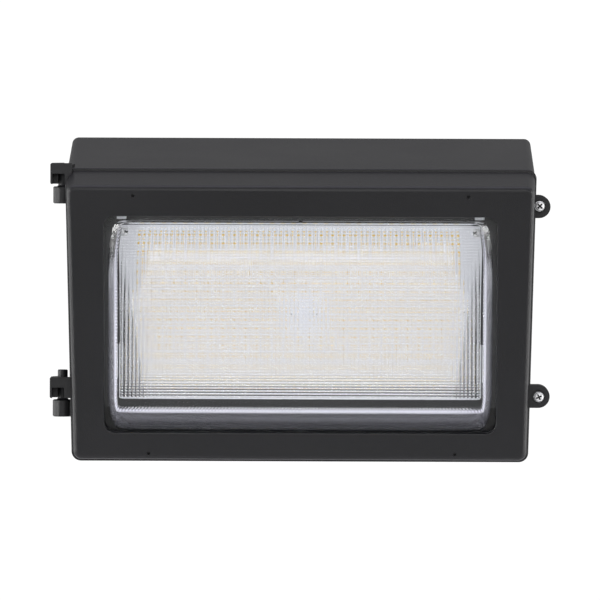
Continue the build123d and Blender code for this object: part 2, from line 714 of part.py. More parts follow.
# twist-on connectors on the ends of the three supply leads
up_slope = Vector(0, -math.sin(lean), math.cos(lean))
with BuildPart() as wire_nuts:
    for shift in (6.0, 0.0, -6.0):
        base = Plane(
            origin=on_face(CLIP_X + shift * 1.0, CLIP_V + 12, LEAD_W),
            x_dir=(1, 0, 0),
            z_dir=up_slope,
        )
        with BuildSketch(base):
            Circle(2.9)
        extrude(amount=15, taper=3)
wire_nuts.part.label = "wire_nuts"
export_step(wire_nuts.part, "parts/wire_nuts.step")

with BuildPart() as lead_clip:
    with BuildSketch(Plane(origin=on_face(CLIP_X, CLIP_V, 0), x_dir=(1, 0, 0), z_dir=up_slope)):
        with Locations((0, -LEAD_W)):
            RectangleRounded(19, 6, 2.9)
        with Locations((4, -CARRIER_BACK + 1)):
            Rectangle(28, 2)
        with Locations((-8.5, (-LEAD_W - CARRIER_BACK) / 2)):
            Rectangle(2, 9.4)
        with Locations((0, -LEAD_W), (6, -LEAD_W), (-6, -LEAD_W)):
            Circle(LEAD_R + 0.05, mode=Mode.SUBTRACT)
    extrude(amount=3.5, both=True)
    with BuildSketch(face.offset(CARRIER_BACK)):
        with Locations((CLIP_X + 12, CLIP_V)):
            Circle(2.1)
    extrude(amount=-2, mode=Mode.SUBTRACT)
lead_clip.part.label = "lead_clip"
export_step(lead_clip.part, "parts/lead_clip.step")

lead_clip_screw = face_screws([(CLIP_X + 12, CLIP_V)], CARRIER_BACK - 2, 3.2, 2.4, 1.8, 5)
lead_clip_screw.label = "lead_clip_screw"
export_step(lead_clip_screw, "parts/lead_clip_screw.step")

# ---------------------------------------------------------------- door screws
SEAT = DOOR_REAR + EAR_DEPTH - 2.2
WASHER = 0.8
for name, z, turn in (("upper", SCREW_Z[0], 45), ("lower", SCREW_Z[1], 25)):
    with BuildPart() as door_washer:
        with BuildSketch(Plane.XZ.offset(SEAT)):
            with Locations((SCREW_X, z)):
                Circle(3.9)
                Circle(2.15, mode=Mode.SUBTRACT)
        extrude(amount=WASHER)
    door_washer.part.label = f"{name}_washer"
    export_step(door_washer.part, f"parts/{name}_washer.step")
    with BuildPart() as door_screw:
        with BuildSketch(Plane.XZ.offset(SEAT + WASHER)):
            with Locations((SCREW_X, z)):
                Circle(3.4)
        extrude(amount=2.6)
        fillet(door_screw.faces().sort_by(Axis.Y)[0].edges(), 1.3)
        with BuildSketch(Plane.XZ.offset(SEAT + WASHER)):
            with Locations((SCREW_X, z)):
                Circle(2)
        extrude(amount=-(SEAT + WASHER - PARTING + LUG_DEPTH + 2))
        chamfer(door_screw.faces().sort_by(Axis.Y)[-1].edges(), 0.5)
        with BuildSketch(Plane.XZ.offset(SEAT + WASHER + 1.1)):
            with Locations(Location((SCREW_X, z, 0), (0, 0, turn))):
                Rectangle(4.2, 0.9)
                Rectangle(0.9, 4.2)
        extrude(amount=2, mode=Mode.SUBTRACT)
    door_screw.part.label = f"{name}_screw"
    export_step(door_screw.part, f"parts/{name}_screw.step")
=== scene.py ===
# %% [markdown]
# # A wall pack light, dressed in Blender
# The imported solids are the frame: a deep cast box on the wall, a wedge shaped door on two pins, a clear
# ribbed bowl in the door and a board of LED chips behind it. This lesson gives each of them the finish
# of the real thing, and makes the parts that carry the look, such as the ribbed bowl, in more detail.

import math

import bmesh
import bpy
import numpy as np
from mathutils import Matrix, Vector


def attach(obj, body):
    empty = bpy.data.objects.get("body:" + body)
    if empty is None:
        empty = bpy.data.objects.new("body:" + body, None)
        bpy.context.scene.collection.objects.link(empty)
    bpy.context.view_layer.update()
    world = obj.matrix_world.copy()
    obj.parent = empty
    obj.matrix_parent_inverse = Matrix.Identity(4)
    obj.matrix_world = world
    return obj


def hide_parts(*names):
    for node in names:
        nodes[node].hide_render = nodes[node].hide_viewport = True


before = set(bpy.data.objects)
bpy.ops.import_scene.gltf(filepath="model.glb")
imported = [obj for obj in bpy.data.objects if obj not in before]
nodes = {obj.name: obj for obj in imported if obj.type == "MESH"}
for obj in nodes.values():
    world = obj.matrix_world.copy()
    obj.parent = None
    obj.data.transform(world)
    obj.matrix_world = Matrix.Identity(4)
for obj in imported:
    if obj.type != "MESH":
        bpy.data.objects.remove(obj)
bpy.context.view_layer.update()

# %% [markdown]
# ## The camera
# The light is seen almost straight on, from far away and a hair above its middle. Such a view can be
# made with an orthographic camera or with a very long lens. A long lens is used, because the roof of
# the box still recedes a little.

# %% Camera
PIVOT = Vector((-0.0003, -0.125, 0.00015))
DISTANCE = 6.0
ELEVATION, YAW, ROLL = (math.radians(a) for a in (1.952, 0.139, 0.207))
level = math.cos(ELEVATION)
back = Vector((math.sin(YAW) * level, -math.cos(YAW) * level, math.sin(ELEVATION)))
right = Vector((0, 0, 1)).cross(back).normalized()
up = back.cross(right)
right, up = right * math.cos(ROLL) + up * math.sin(ROLL), up * math.cos(ROLL) - right * math.sin(ROLL)
place = Matrix((right, up, back)).transposed().to_4x4()
place.translation = PIVOT + back * DISTANCE
camera = bpy.data.objects.new("camera", bpy.data.cameras.new("camera"))
camera.data.lens = 496.8
camera.data.clip_end = 60
camera.matrix_world = place
bpy.context.scene.collection.objects.link(camera)
bpy.context.scene.camera = camera
print("camera at", [round(c, 3) for c in place.translation])

# %% [markdown]
# ## Short calls for node trees
# World, finishes and ribs are all node trees. Each node can be made and linked with Blender's own calls,
# but that takes many lines. A small class shortens them: a node, a link, a sum, a range, a noise, and
# a colour or a shader between two others. It makes no choice of its own, so the trees stay readable.


# %% Node helpers
class Tree:
    """Short calls for building a node tree."""

    def __init__(self, tree):
        self.tree = tree

    def node(self, kind, **settings):
        made = self.tree.nodes.new(kind)
        for key, value in settings.items():
            setattr(made, key, value)
        return made

    def link(self, source, target):
        self.tree.links.new(source, target)
        return source

    def feed(self, value, socket):
        """A number is set on the socket and an output is linked to it."""
        if isinstance(value, (int, float)):
            socket.default_value = value
        else:
            self.link(value, socket)

    def math(self, operation, a, b=None):
        made = self.node("ShaderNodeMath", operation=operation)
        for socket, value in zip(made.inputs, (a, b)):
            if value is not None:
                self.feed(value, socket)
        return made.outputs[0]

    def ramp(self, value, low, high, to_low=0.0, to_high=1.0):
        made = self.node("ShaderNodeMapRange")
        self.link(value, made.inputs["Value"])
        limits = {"From Min": low, "From Max": high, "To Min": to_low, "To Max": to_high}
        for label, limit in limits.items():
            made.inputs[label].default_value = limit
        return made.outputs[0]

    def noise(self, vector, scale, detail=3.0, rough=0.5):
        made = self.node("ShaderNodeTexNoise")
        self.link(vector, made.inputs["Vector"])
        self.feed(scale, made.inputs["Scale"])
        made.inputs["Detail"].default_value = detail
        made.inputs["Roughness"].default_value = rough
        return made.outputs["Fac"]

    def kept(self, name):
        """A float that the mesh keeps on its points."""
        return self.node("ShaderNodeAttribute", attribute_name=name).outputs["Fac"]

    def blend(self, factor, first, second):
        """A colour between two, each of them an output or three numbers."""
        made = self.node("ShaderNodeMix", data_type="RGBA")
        self.link(factor, made.inputs["Factor"])
        for colour, socket in zip((first, second), made.inputs[6:8]):
            if isinstance(colour, tuple):
                socket.default_value = (*colour, 1)
            else:
                self.link(colour, socket)
        return made.outputs[2]

    def mix(self, factor, first, second):
        """A shader between two."""
        made = self.node("ShaderNodeMixShader")
        for source, socket in zip((factor, first, second), made.inputs):
            self.link(source, socket)
        return made.outputs[0]


# %% [markdown]
# ## Studio light
# The real light stood in a white studio: a broad lamp overhead and one in front, a tall narrow lamp and
# a wide panel at each side, and white all round. Lamps alone could do it, but then glass and metal
# would mirror black. So the world is soft white too, brighter for the camera than for the object, and
# a pale floor lies well below.


# %% World, floor and lamps
def white_world(seen, cast, behind):
    """A world that is brighter for the camera than for the object, with a brighter sweep behind it."""
    world = bpy.data.worlds.new("studio")
    world.use_nodes = True
    world.node_tree.nodes.clear()
    tree = Tree(world.node_tree)
    toward = tree.node("ShaderNodeSeparateXYZ")
    tree.link(tree.node("ShaderNodeTexCoord").outputs["Generated"], toward.inputs[0])
    skies = []
    for strength in (tree.ramp(toward.outputs["Y"], 0.1, 0.8, cast, behind), seen):
        sky = tree.node("ShaderNodeBackground")
        sky.inputs["Color"].default_value = (1, 1, 1, 1)
        tree.feed(strength, sky.inputs["Strength"])
        skies.append(sky.outputs[0])
    shown = tree.mix(tree.node("ShaderNodeLightPath").outputs["Is Camera Ray"], *skies)
    tree.link(shown, tree.node("ShaderNodeOutputWorld").inputs["Surface"])
    return world


def soft_lamp(name, at, aim, width, height, power):
    """A rectangular lamp that points at a place."""
    lamp = bpy.data.objects.new(name, bpy.data.lights.new(name, "AREA"))
    lamp.data.shape = "RECTANGLE"
    lamp.data.size, lamp.data.size_y = width, height
    lamp.data.energy = power
    lamp.location = at
    lamp.rotation_euler = (Vector(aim) - Vector(at)).to_track_quat("-Z", "Y").to_euler()
    bpy.context.scene.collection.objects.link(lamp)
    return lamp


OBJECT_MIDDLE = (0, -0.15, 0)
COOL_WHITE = (1.0, 0.98, 1.18)
FLOOR_HEIGHT = -0.42
scene = bpy.context.scene
scene.world = white_world(seen=1.05, cast=0.27, behind=0.30)
scene.view_settings.view_transform = "Standard"
overhead = soft_lamp("lamp_top", (0, -0.1, 1.6), (0, -0.1, 0), 2.6, 1.6, 13)
overhead.data.color = COOL_WHITE
soft_lamp("lamp_left", (-1.7, -1.1, 0.0), OBJECT_MIDDLE, 0.26, 1.3, 15)
soft_lamp("lamp_right", (1.7, -1.1, 0.0), OBJECT_MIDDLE, 0.26, 1.3, 13)
for name, x in (("panel_left", -1.5), ("panel_right", 1.5)):
    panel = soft_lamp(name, (x, 0.15, 0.1), OBJECT_MIDDLE, 1.6, 1.4, 16)
    panel.visible_camera = False
soft_lamp("lamp_front", (0, -3.4, 0.9), OBJECT_MIDDLE, 2.4, 1.4, 24)
bpy.ops.mesh.primitive_circle_add(vertices=96, radius=0.95, fill_type="NGON", location=(0, 0, FLOOR_HEIGHT))
floor = bpy.context.object
floor.name = "floor"

# %% [markdown]
# ## Shared surface effects
# Every finish here needs the same few effects: a fine grain, broad soft blotches, and thin scratches.
# They could be repeated in each material, but a node group with named inputs is made once and placed
# with other values each time. The groups only put out masks and heights; the shader stays outside.


# %% Effect groups
def effect(name, inputs, outputs):
    """An empty shader group with float inputs and outputs."""
    group = bpy.data.node_groups.new(name, "ShaderNodeTree")
    for label, value in inputs.items():
        socket = group.interface.new_socket(label, in_out="INPUT", socket_type="NodeSocketFloat")
        socket.default_value = value
    for label in outputs:
        group.interface.new_socket(label, in_out="OUTPUT", socket_type="NodeSocketFloat")
    tree = Tree(group)
    return group, tree, tree.node("NodeGroupInput").outputs, tree.node("NodeGroupOutput").inputs


# %% Grain and blotches
grain, tree, given, result = effect("grain", {"Grain": 1800, "Blotch": 14}, ["Height", "Speck", "Blotch"])
place_in = tree.node("ShaderNodeTexCoord").outputs["Object"]
fine = tree.noise(place_in, given["Grain"], detail=2.0, rough=0.45)
tree.link(fine, result["Height"])
tree.link(tree.ramp(fine, 0.35, 0.65), result["Speck"])
tree.link(tree.ramp(tree.noise(place_in, given["Blotch"], detail=4.0), 0.3, 0.7), result["Blotch"])
print("group", grain.name)

# %% Scratches
scratches, tree, given, result = effect("scratches", {"Scale": 220, "Stretch": 14}, ["Mask", "Height"])
place_in = tree.node("ShaderNodeTexCoord").outputs["Object"]
stretch = tree.node("ShaderNodeVectorMath", operation="MULTIPLY")
sizes = tree.node("ShaderNodeCombineXYZ")
tree.link(tree.math("DIVIDE", 1.0, given["Stretch"]), sizes.inputs["X"])
sizes.inputs["Y"].default_value = 1.0
sizes.inputs["Z"].default_value = 1.0
tree.link(place_in, stretch.inputs[0])
tree.link(sizes.outputs[0], stretch.inputs[1])
lines = tree.noise(stretch.outputs[0], given["Scale"], detail=5.0, rough=0.65)
tree.link(tree.ramp(lines, 0.42, 0.62), result["Mask"])
tree.link(lines, result["Height"])
print("group", scratches.name)

# %% [markdown]
# ## A finish in one call
# A finish is a Principled shader with a base colour that varies a little, a roughness that varies with
# the same masks, and a bump of the grain's height. Each real surface differs only in these numbers, so
# one function makes them all from the two groups above.


# %% Finish helper
GRAIN_HEIGHT = 0.0004


def new_material(name):
    """A material, its node tree and its Principled shader."""
    material = bpy.data.materials.new(name)
    material.use_nodes = True
    return material, Tree(material.node_tree), material.node_tree.nodes["Principled BSDF"]


def bumped(tree, shader, height, strength, distance):
    """Lets a height tilt the normals of a shader; the distance is in metres."""
    relief = tree.node("ShaderNodeBump")
    relief.inputs["Strength"].default_value = strength
    relief.inputs["Distance"].default_value = distance
    tree.link(height, relief.inputs["Height"])
    tree.link(relief.outputs[0], shader.inputs["Normal"])


def finish(name, dark, light, rough, grain_scale=1800, blotch=14, bump=0.02, metal=0.0,
           effect_group=None, **constants):
    """A material whose colour runs from dark to light and whose roughness runs over a range."""
    material, tree, shader = new_material(name)
    surface = tree.node("ShaderNodeGroup", node_tree=effect_group or grain)
    if effect_group is None:
        surface.inputs["Grain"].default_value = grain_scale
        surface.inputs["Blotch"].default_value = blotch
        broad, small = surface.outputs["Blotch"], surface.outputs["Speck"]
    else:
        surface.inputs["Scale"].default_value = grain_scale
        broad, small = surface.outputs["Mask"], surface.outputs["Mask"]
    share = tree.math("ADD", tree.math("MULTIPLY", broad, 0.6), tree.math("MULTIPLY", small, 0.4))
    tree.link(tree.blend(share, dark, light), shader.inputs["Base Color"])
    tree.link(tree.ramp(share, 0.0, 1.0, *rough), shader.inputs["Roughness"])
    bumped(tree, shader, surface.outputs["Height"], min(1.0, bump * 10), GRAIN_HEIGHT)
    shader.inputs["Metallic"].default_value = metal
    for label, value in constants.items():
        shader.inputs[label.replace("_", " ")].default_value = value
    return material


def second_colour(material, attribute, colour):
    """Gives a finish another base colour where a mesh attribute is one."""
    tree = Tree(material.node_tree)
    base = material.node_tree.nodes["Principled BSDF"].inputs["Base Color"]
    tree.link(tree.blend(tree.kept(attribute), base.links[0].from_socket, colour), base)
    return material


def dress(material, *names):
    """Puts a material on CAD nodes."""
    for name in names:
        slots = nodes[name].data.materials
        slots.clear()
        slots.append(material)


# %% [markdown]
# ## Powder coat
# Box and door are cast aluminium with a dark grey powder coat: satin, with a very fine orange peel.
# The peel could be real geometry, but at a few hundredths of a millimetre a bump does it better.

# %% Powder coat
coat = finish("powder_coat", (0.0108, 0.0108, 0.0118), (0.0132, 0.0131, 0.0147), (0.34, 0.44), 1500, 9, 0.03,
              Specular_IOR_Level=0.42)
dress(coat, "rear_housing", "door_frame")
dress(finish("plug_coat", (0.018, 0.018, 0.02), (0.024, 0.024, 0.026), (0.4, 0.55), 1500, 20, 0.03),
      "conduit_plugs")
print("coated:", coat.name)

# %% [markdown]
# ## Sheet, rubber, plastic and plated steel
# The parts behind the glass and at the back are seen when the door stands open. Each gets a finish of
# its own: black coated sheet, silicone, foam, plated steel, brass, and the plastics of the leads.

# %% Finishes of the small parts
zinc = finish("bright_zinc", (0.60, 0.61, 0.63), (0.78, 0.79, 0.80), (0.16, 0.34), 900, bump=0.01, metal=1.0,
              effect_group=scratches)


def plated_screw():
    """The zinc of the screws, with painted shade down in the cross recess."""
    material = finish("plated_screw", (0.90, 0.90, 0.91), (0.96, 0.96, 0.97), (0.26, 0.38), 900, 40, 0.01,
                      metal=0.3)
    return second_colour(material, "recess", (0.05, 0.05, 0.05))


screw_zinc = plated_screw()
for name, dark, light, rough, grain_scale, blotch, bump, *dressed in (
    ("black_sheet", (0.012, 0.012, 0.013), (0.02, 0.02, 0.021), (0.45, 0.6), 900, 11, 0.02, "board_carrier"),
    ("white_mask", (0.85, 0.85, 0.89), (0.89, 0.89, 0.93), (0.3, 0.42), 700, 20, 0.01, "led_board"),
    ("grey_silicone", (0.22, 0.23, 0.24), (0.3, 0.31, 0.32), (0.5, 0.7), 600, 30, 0.02, "door_gasket"),
    ("black_silicone", (0.012, 0.012, 0.013), (0.022, 0.022, 0.023), (0.35, 0.5), 600, 30, 0.01,
     "refractor_gasket"),
    ("black_foam", (0.012, 0.012, 0.012), (0.035, 0.035, 0.035), (0.8, 0.95), 700, 40, 0.08, "wall_gasket"),
    ("black_rubber", (0.012, 0.012, 0.012), (0.025, 0.025, 0.025), (0.5, 0.7), 900, 40, 0.03,
     "plug_seals", "lead_grommet"),
):
    dress(finish(name, dark, light, rough, grain_scale, blotch, bump), *dressed)
dress(finish("brass", (0.62, 0.44, 0.18), (0.76, 0.58, 0.28), (0.2, 0.38), 500, bump=0.01, metal=1.0,
             effect_group=scratches), "ground_washer")
dress(finish("green_steel", (0.02, 0.16, 0.06), (0.04, 0.26, 0.10), (0.25, 0.4), 700, 40, 0.02, metal=0.6),
      "ground_screw")
case_sheet = finish("driver_case", (0.60, 0.61, 0.62), (0.70, 0.71, 0.72), (0.42, 0.55), 1200, 12, 0.04)
plastics = {}
for name, low, high in (
    ("red_lead", (0.42, 0.015, 0.012), (0.55, 0.03, 0.022)),
    ("black_lead", (0.012, 0.012, 0.012), (0.022, 0.022, 0.022)),
    ("white_lead", (0.66, 0.66, 0.65), (0.76, 0.76, 0.75)),
    ("green_lead", (0.02, 0.2, 0.05), (0.035, 0.28, 0.08)),
    ("orange_plastic", (0.62, 0.17, 0.02), (0.75, 0.24, 0.035)),
    ("nylon", (0.68, 0.68, 0.65), (0.76, 0.76, 0.73)),
):
    plastics[name] = finish(name, low, high, (0.3, 0.42), 900, 60, 0.01)
dress(plastics["nylon"], "lead_clip")
pale = finish("pale_floor", (0.80, 0.80, 0.80), (0.84, 0.84, 0.84), (0.6, 0.7), 60, 2, 0.0)
floor.data.materials.append(pale)
print("materials:", len(bpy.data.materials))

# %% [markdown]
# ## The ribbed bowl
# The refractor is one pressed piece of clear glass: a wedge that is flush at its top and deepest at its
# foot, with upright ribs outside and level ribs inside. It could be cut out of a solid with booleans,
# but these leave ragged edges. Here both skins are laid out as grids with a closed rim round them, and
# Geometry Nodes raise the ribs from the place of each point, so that they stay straight and even.

# %% Sizes of the bowl, in millimetres on the door's face
TILT = math.radians(9.41)
FACE = Vector((0, -154.36, -17.2))


def in_space(points):
    """Places on the door's face (x, up the slope, out of it) as places in the frame, in metres."""
    x, v, w = np.asarray(points, float).reshape(-1, 3).T
    y = FACE.y - w * math.cos(TILT) - v * math.sin(TILT)
    z = FACE.z - w * math.sin(TILT) + v * math.cos(TILT)
    return np.stack([x, y, z], 1) / 1000


OUTER = dict(front=168.5, half=133.8, base_half=138.8, low=-58.9, base_low=-77.5, top=74.9, base_top=75.2,
             base_w=0.0, end_w=-8.0, round_side=3.8, round_low=7.0, round_top=1.0)
INNER = dict(front=165.5, half=132.5, base_half=136.6, low=-59.9, base_low=-75.5, top=73.9, base_top=73.8,
             base_w=-3.0, end_w=-11.0, round_side=0.8, round_low=0.8, round_top=0.6)
INSET_SIDE, INSET_LOW, INSET_TOP = 0.62, 0.58, 0.9
CELLS_X, CELLS_V = 97, 64
# Painted highlight: shares of white diffuse on the glass for each step out from the front's border, over the
# rounded edge, the wall and the rim.
PAINTED_WALL_HIGHLIGHT = (0.9, 3.1, 4.3, 3.4, 1.7, 0.48, 0.38, 0.46, 0.32, 0.08, 0.02, 0)
FLUTE_SHARE = ((-60, 1.0), (-21, 0.95), (0, 0.92), (30, 0.86), (40, 0.80), (48, 0.76), (54, 0.70),
               (61, 0.60), (76, 0.55))
EDGE_SHARE = ((-60, 1.0), (-21, 0.95), (0, 0.88), (20, 0.72), (30, 0.52), (40, 0.30), (50, 0.16), (76, 0.12))
EDGE_FROM, EDGE_TO = 108, 118
FLUTE_HALF, FLUTE_FOOT, LEVEL_FOOT = 129.3, -48.4, -49.3
RIB_HIGH_X, RIB_HIGH_V = 0.18, 0.07
FLANGE_TOP, FLANGE_BACK, FLANGE_WIDE, FLANGE_TALL, FLANGE_ROUND = -8.0, -11.0, 292, 168, 9
print("bowl in mm: wide", 2 * OUTER["base_half"], "tall", OUTER["base_top"] - OUTER["base_low"])
print("ribs:", CELLS_X, "upright and", CELLS_V, "level")


# %% Skins of the bowl
def edge_section(height, base_w, end_w, across, run, radius, steps=7):
    """Offsets from the front's border to the rim: outwards, and height above the door's face."""
    wall = np.array([run - across, base_w - height])
    wall = wall / np.linalg.norm(wall)
    turn = math.acos(max(-1.0, min(1.0, wall[0])))
    reach = radius * math.tan(turn / 2)
    start = across - reach
    points = []
    for k in range(1, steps + 1):
        a = turn * k / steps
        points.append((start + radius * math.sin(a), height - radius * (1 - math.cos(a))))
    for share in (0.4, 0.75, 1.0):
        last = points[steps - 1]
        points.append((last[0] + (run - last[0]) * share, last[1] + (base_w - last[1]) * share))
    points.append((run, (base_w + end_w) / 2))
    points.append((run, end_w))
    return np.array(points)


def skin(size, across, upward, share, corner=2.2, lean=0.0, lean_tall=36):
    """Points and faces of one skin of the bowl, and where its ribs are; lean narrows its upper corners."""
    xf = size["half"] - size["round_side"] * INSET_SIDE
    v_low = size["low"] + size["round_low"] * INSET_LOW
    v_top = size["top"] - size["round_top"] * INSET_TOP
    columns, rows = len(across), len(upward)
    grid = np.zeros((rows, columns, 3))
    flat = []
    for j, v0 in enumerate(v_low + (v_top - v_low) * np.array(upward)):
        edge = v_top if v0 > 0 else v_low
        for i, x0 in enumerate(-xf + 2 * xf * np.array(across)):
            flat.append((x0, v0))
            near_side = max(0.0, corner - (xf - abs(x0))) / corner
            near_edge = max(0.0, corner - abs(edge - v0)) / corner
            both = near_side * near_edge * corner * (1 - math.sqrt(0.5))
            narrow = lean * max(0.0, 1 - (v_top - v0) / lean_tall) ** 2 * abs(x0 / xf) ** 6
            x = x0 - math.copysign(both + narrow, x0)
            v = v0 - math.copysign(both, v0)
            grid[j, i] = (x, v, (size["front"] + FACE.y - v * math.sin(TILT)) / math.cos(TILT))
    points = [tuple(p) for p in grid.reshape(-1, 3)]
    faces = []
    for j in range(rows - 1):
        for i in range(columns - 1):
            a = j * columns + i
            faces.append((a, a + 1, a + columns + 1, a + columns))
    loop = list(range(columns))
    loop += [j * columns + columns - 1 for j in range(1, rows)]
    loop += [(rows - 1) * columns + i for i in range(columns - 2, -1, -1)]
    loop += [j * columns for j in range(rows - 2, 0, -1)]
    ring = np.array([points[k] for k in loop])
    ahead, behind = np.roll(ring, -1, 0), np.roll(ring, 1, 0)
    along = (ahead - behind)[:, :2]
    along /= np.linalg.norm(along, axis=1)[:, None]
    outward = np.stack([along[:, 1], -along[:, 0]], 1)
    for _ in range(2):
        outward = (np.roll(outward, 1, 0) + 2 * outward + np.roll(outward, -1, 0)) / 4
        outward /= np.linalg.norm(outward, axis=1)[:, None]
    rib = [share(x, v) for x, v, w in points]
    for k in loop:
        rib[k] = 0.0
    pitch_x, pitch_v = 2 * xf / CELLS_X, (v_top - v_low) / CELLS_V
    ribs_at = [((x + xf) / pitch_x, (v - v_low) / pitch_v) for x, v in flat]
    previous = loop
    count = len(edge_section(10, 0, -8, 1, 2, 1))
    sections = []
    heights = size["base_w"], size["end_w"]
    side_reach = size["half"] - xf, size["base_half"] - xf
    low_reach = v_low - size["low"], v_low - size["base_low"]
    top_reach = size["top"] - v_top, size["base_top"] - v_top
    for (_, nv), (_, _, w) in zip(outward, ring):
        short = min(1.0, max(w - size["base_w"], 0.8) / 8)
        side = edge_section(w, *heights, *side_reach, size["round_side"] * short)
        if nv < 0:
            other = edge_section(w, *heights, *low_reach, size["round_low"])
        else:
            other = edge_section(w, *heights, *top_reach, size["round_top"])
        sections.append((side, other))
    for step in range(count):
        first = len(points)
        for (nx, nv), (x, v, w), (side, other) in zip(outward, ring, sections):
            sideways = nx * nx
            height = side[step][1] * sideways + other[step][1] * (1 - sideways)
            points.append((x + nx * side[step][0], v + nv * other[step][0], height))
            rib.append(0.0)
            # Painted highlight on the rows round the front: a share of white diffuse, less on the lower wall
            # and none near the top, kept as a negative count across.
            low_share = 0.7 if nv < -0.5 and step > 4 else 1.0
            fade = float(np.interp(v, (38, 62), (1.0, 0.0))) if step > 4 else float(nv < 0.5)
            ribs_at.append((-PAINTED_WALL_HIGHLIGHT[step] * low_share * fade, 0.0))
        current = list(range(first, first + len(ring)))
        for k in range(len(ring)):
            n = (k + 1) % len(ring)
            faces.append((previous[k], current[k], current[n], previous[n]))
        previous = current
    return points, faces, rib, ribs_at, previous


# %% Loops of points
def rounded_outline(width, height, radius, steps=6):
    """Points of a rounded rectangle, counterclockwise."""
    a, b = width / 2 - radius, height / 2 - radius
    points = []
    for cx, cv, start in ((a, -b, -90), (a, b, 0), (-a, b, 90), (-a, -b, 180)):
        for k in range(steps + 1):
            t = math.radians(start + 90 * k / steps)
            points.append((cx + radius * math.cos(t), cv + radius * math.sin(t)))
    return points


def band(mesh, low, high):
    """Four-sided faces between two loops of as many points."""
    for k in range(len(low)):
        n = (k + 1) % len(low)
        mesh.faces.new((low[k], low[n], high[n], high[k]))


def fill_between(mesh, loops):
    """Triangles over the flat strip between two loops of points."""
    edges = []
    for loop in loops:
        for pair in zip(loop, [*loop[1:], loop[0]]):
            edges.append(mesh.edges.get(pair) or mesh.edges.new(pair))
    bmesh.ops.triangle_fill(mesh, edges=edges, use_beauty=True, use_dissolve=False)


# %% Close the two skins into one piece of glass
def pressed_glass():
    """Both skins, the flange between them and a closed back, as one mesh with marks on its points."""
    def flute(x, v):
        if abs(x) > FLUTE_HALF or v < FLUTE_FOOT:
            return 0.0
        edge = np.interp(abs(x), (EDGE_FROM, EDGE_TO), (0.0, 1.0))
        return (1 - edge) * np.interp(v, *zip(*FLUTE_SHARE)) + edge * np.interp(v, *zip(*EDGE_SHARE))

    parts = (0, 0.1, 0.25, 0.5, 0.75, 0.9)
    cells_v = [(k + part) / CELLS_V for k in range(CELLS_V) for part in parts] + [1.0]
    foot_rows = (0.0492, 0.0508)
    rows = sorted([*np.linspace(0, 1, 24), *foot_rows])
    outer = skin(OUTER, np.linspace(0, 1, CELLS_X * 6 + 1), rows, flute, lean=3.4)
    inner = skin(INNER, np.linspace(0, 1, 28), cells_v, lambda _, v: float(v > LEVEL_FOOT), lean=2.0)
    mesh = bmesh.new()
    marks = ("outside", "inside", "across", "upward", "wall")
    layers = {name: mesh.verts.layers.float.new(name) for name in marks}
    rims = []
    for skin_made, name, turned in ((outer, "outside", False), (inner, "inside", True)):
        points, faces, rib, ribs_at, rim = skin_made
        made = [mesh.verts.new(p) for p in in_space(points)]
        for vert, mark, (across, upward) in zip(made, rib, ribs_at):
            vert[layers[name]] = mark
            vert[layers["across"]], vert[layers["upward"]] = max(across, 0.0), upward
            # The mark 'wall' holds the share of painted highlight.
            vert[layers["wall"]] = max(-across, 0.0)
        for face in faces:
            corners = [made[k] for k in face]
            mesh.faces.new(corners[::-1] if turned else corners)
        rims.append([made[k] for k in rim])
    flange = []
    for w in (FLANGE_TOP, FLANGE_BACK):
        ring = [(x, v, w) for x, v in rounded_outline(FLANGE_WIDE, FLANGE_TALL, FLANGE_ROUND)]
        flange.append([mesh.verts.new(p) for p in in_space(ring)])
    band(mesh, flange[1], flange[0])
    for loops in zip(rims, flange):
        fill_between(mesh, loops)
    bmesh.ops.recalc_face_normals(mesh, faces=mesh.faces)
    data = bpy.data.meshes.new("bowl")
    mesh.to_mesh(data)
    open_edges = sum(len(e.link_faces) != 2 for e in mesh.edges)
    mesh.free()
    data.shade_smooth()
    print("bowl: faces", len(data.polygons), "open edges", open_edges)
    return data


def new_piece(name, data):
    """A mesh object in the scene."""
    made = bpy.data.objects.new(name, data)
    bpy.context.scene.collection.objects.link(made)
    return made


bowl = new_piece("ribbed_bowl", pressed_glass())

# %% [markdown]
# ### The ribs as Geometry Nodes
# Each rib is a shallow arch. The tree takes the place of a point, finds how far it is along its rib and
# lifts it by that arch, outwards on the outer skin and inwards on the inner one. A displacement texture
# could do the same, but here pitch and height are plain inputs that can be changed.


# %% Rib tree
def geometry_tree(name, inputs):
    """An empty geometry tree with a mesh in and out, and inputs of (label, kind of socket, value)."""
    group = bpy.data.node_groups.new(name, "GeometryNodeTree")
    group.interface.new_socket("Geometry", in_out="INPUT", socket_type="NodeSocketGeometry")
    for label, kind, value in (*inputs, ("Material", "NodeSocketMaterial", None)):
        socket = group.interface.new_socket(label, in_out="INPUT", socket_type=kind)
        if value is not None:
            socket.default_value = value
    group.interface.new_socket("Geometry", in_out="OUTPUT", socket_type="NodeSocketGeometry")
    tree = Tree(group)
    return group, tree, tree.node("NodeGroupInput").outputs


def end_tree(tree, geometry, material):
    """Ends a tree: instances become one real mesh, which gets its material."""
    real = tree.node("GeometryNodeRealizeInstances")
    paint = tree.node("GeometryNodeSetMaterial")
    tree.link(geometry, real.inputs[0])
    tree.link(real.outputs[0], paint.inputs["Geometry"])
    tree.link(material, paint.inputs["Material"])
    tree.link(paint.outputs[0], tree.node("NodeGroupOutput").inputs[0])


def set_inputs(modifier, values):
    """Modifier inputs by name, written to the identifier of each socket."""
    for item in modifier.node_group.interface.items_tree:
        if item.item_type == "SOCKET" and item.in_out == "INPUT" and item.name in values:
            modifier[item.identifier] = values[item.name]


def plain_mesh(piece):
    """Replaces the piece's mesh by its evaluated one and removes its modifiers."""
    bpy.context.view_layer.update()
    depsgraph = bpy.context.evaluated_depsgraph_get()
    data = bpy.data.meshes.new_from_object(piece.evaluated_get(depsgraph), preserve_all_data_layers=True,
                                           depsgraph=depsgraph)
    piece.modifiers.clear()
    piece.data = data
    return data


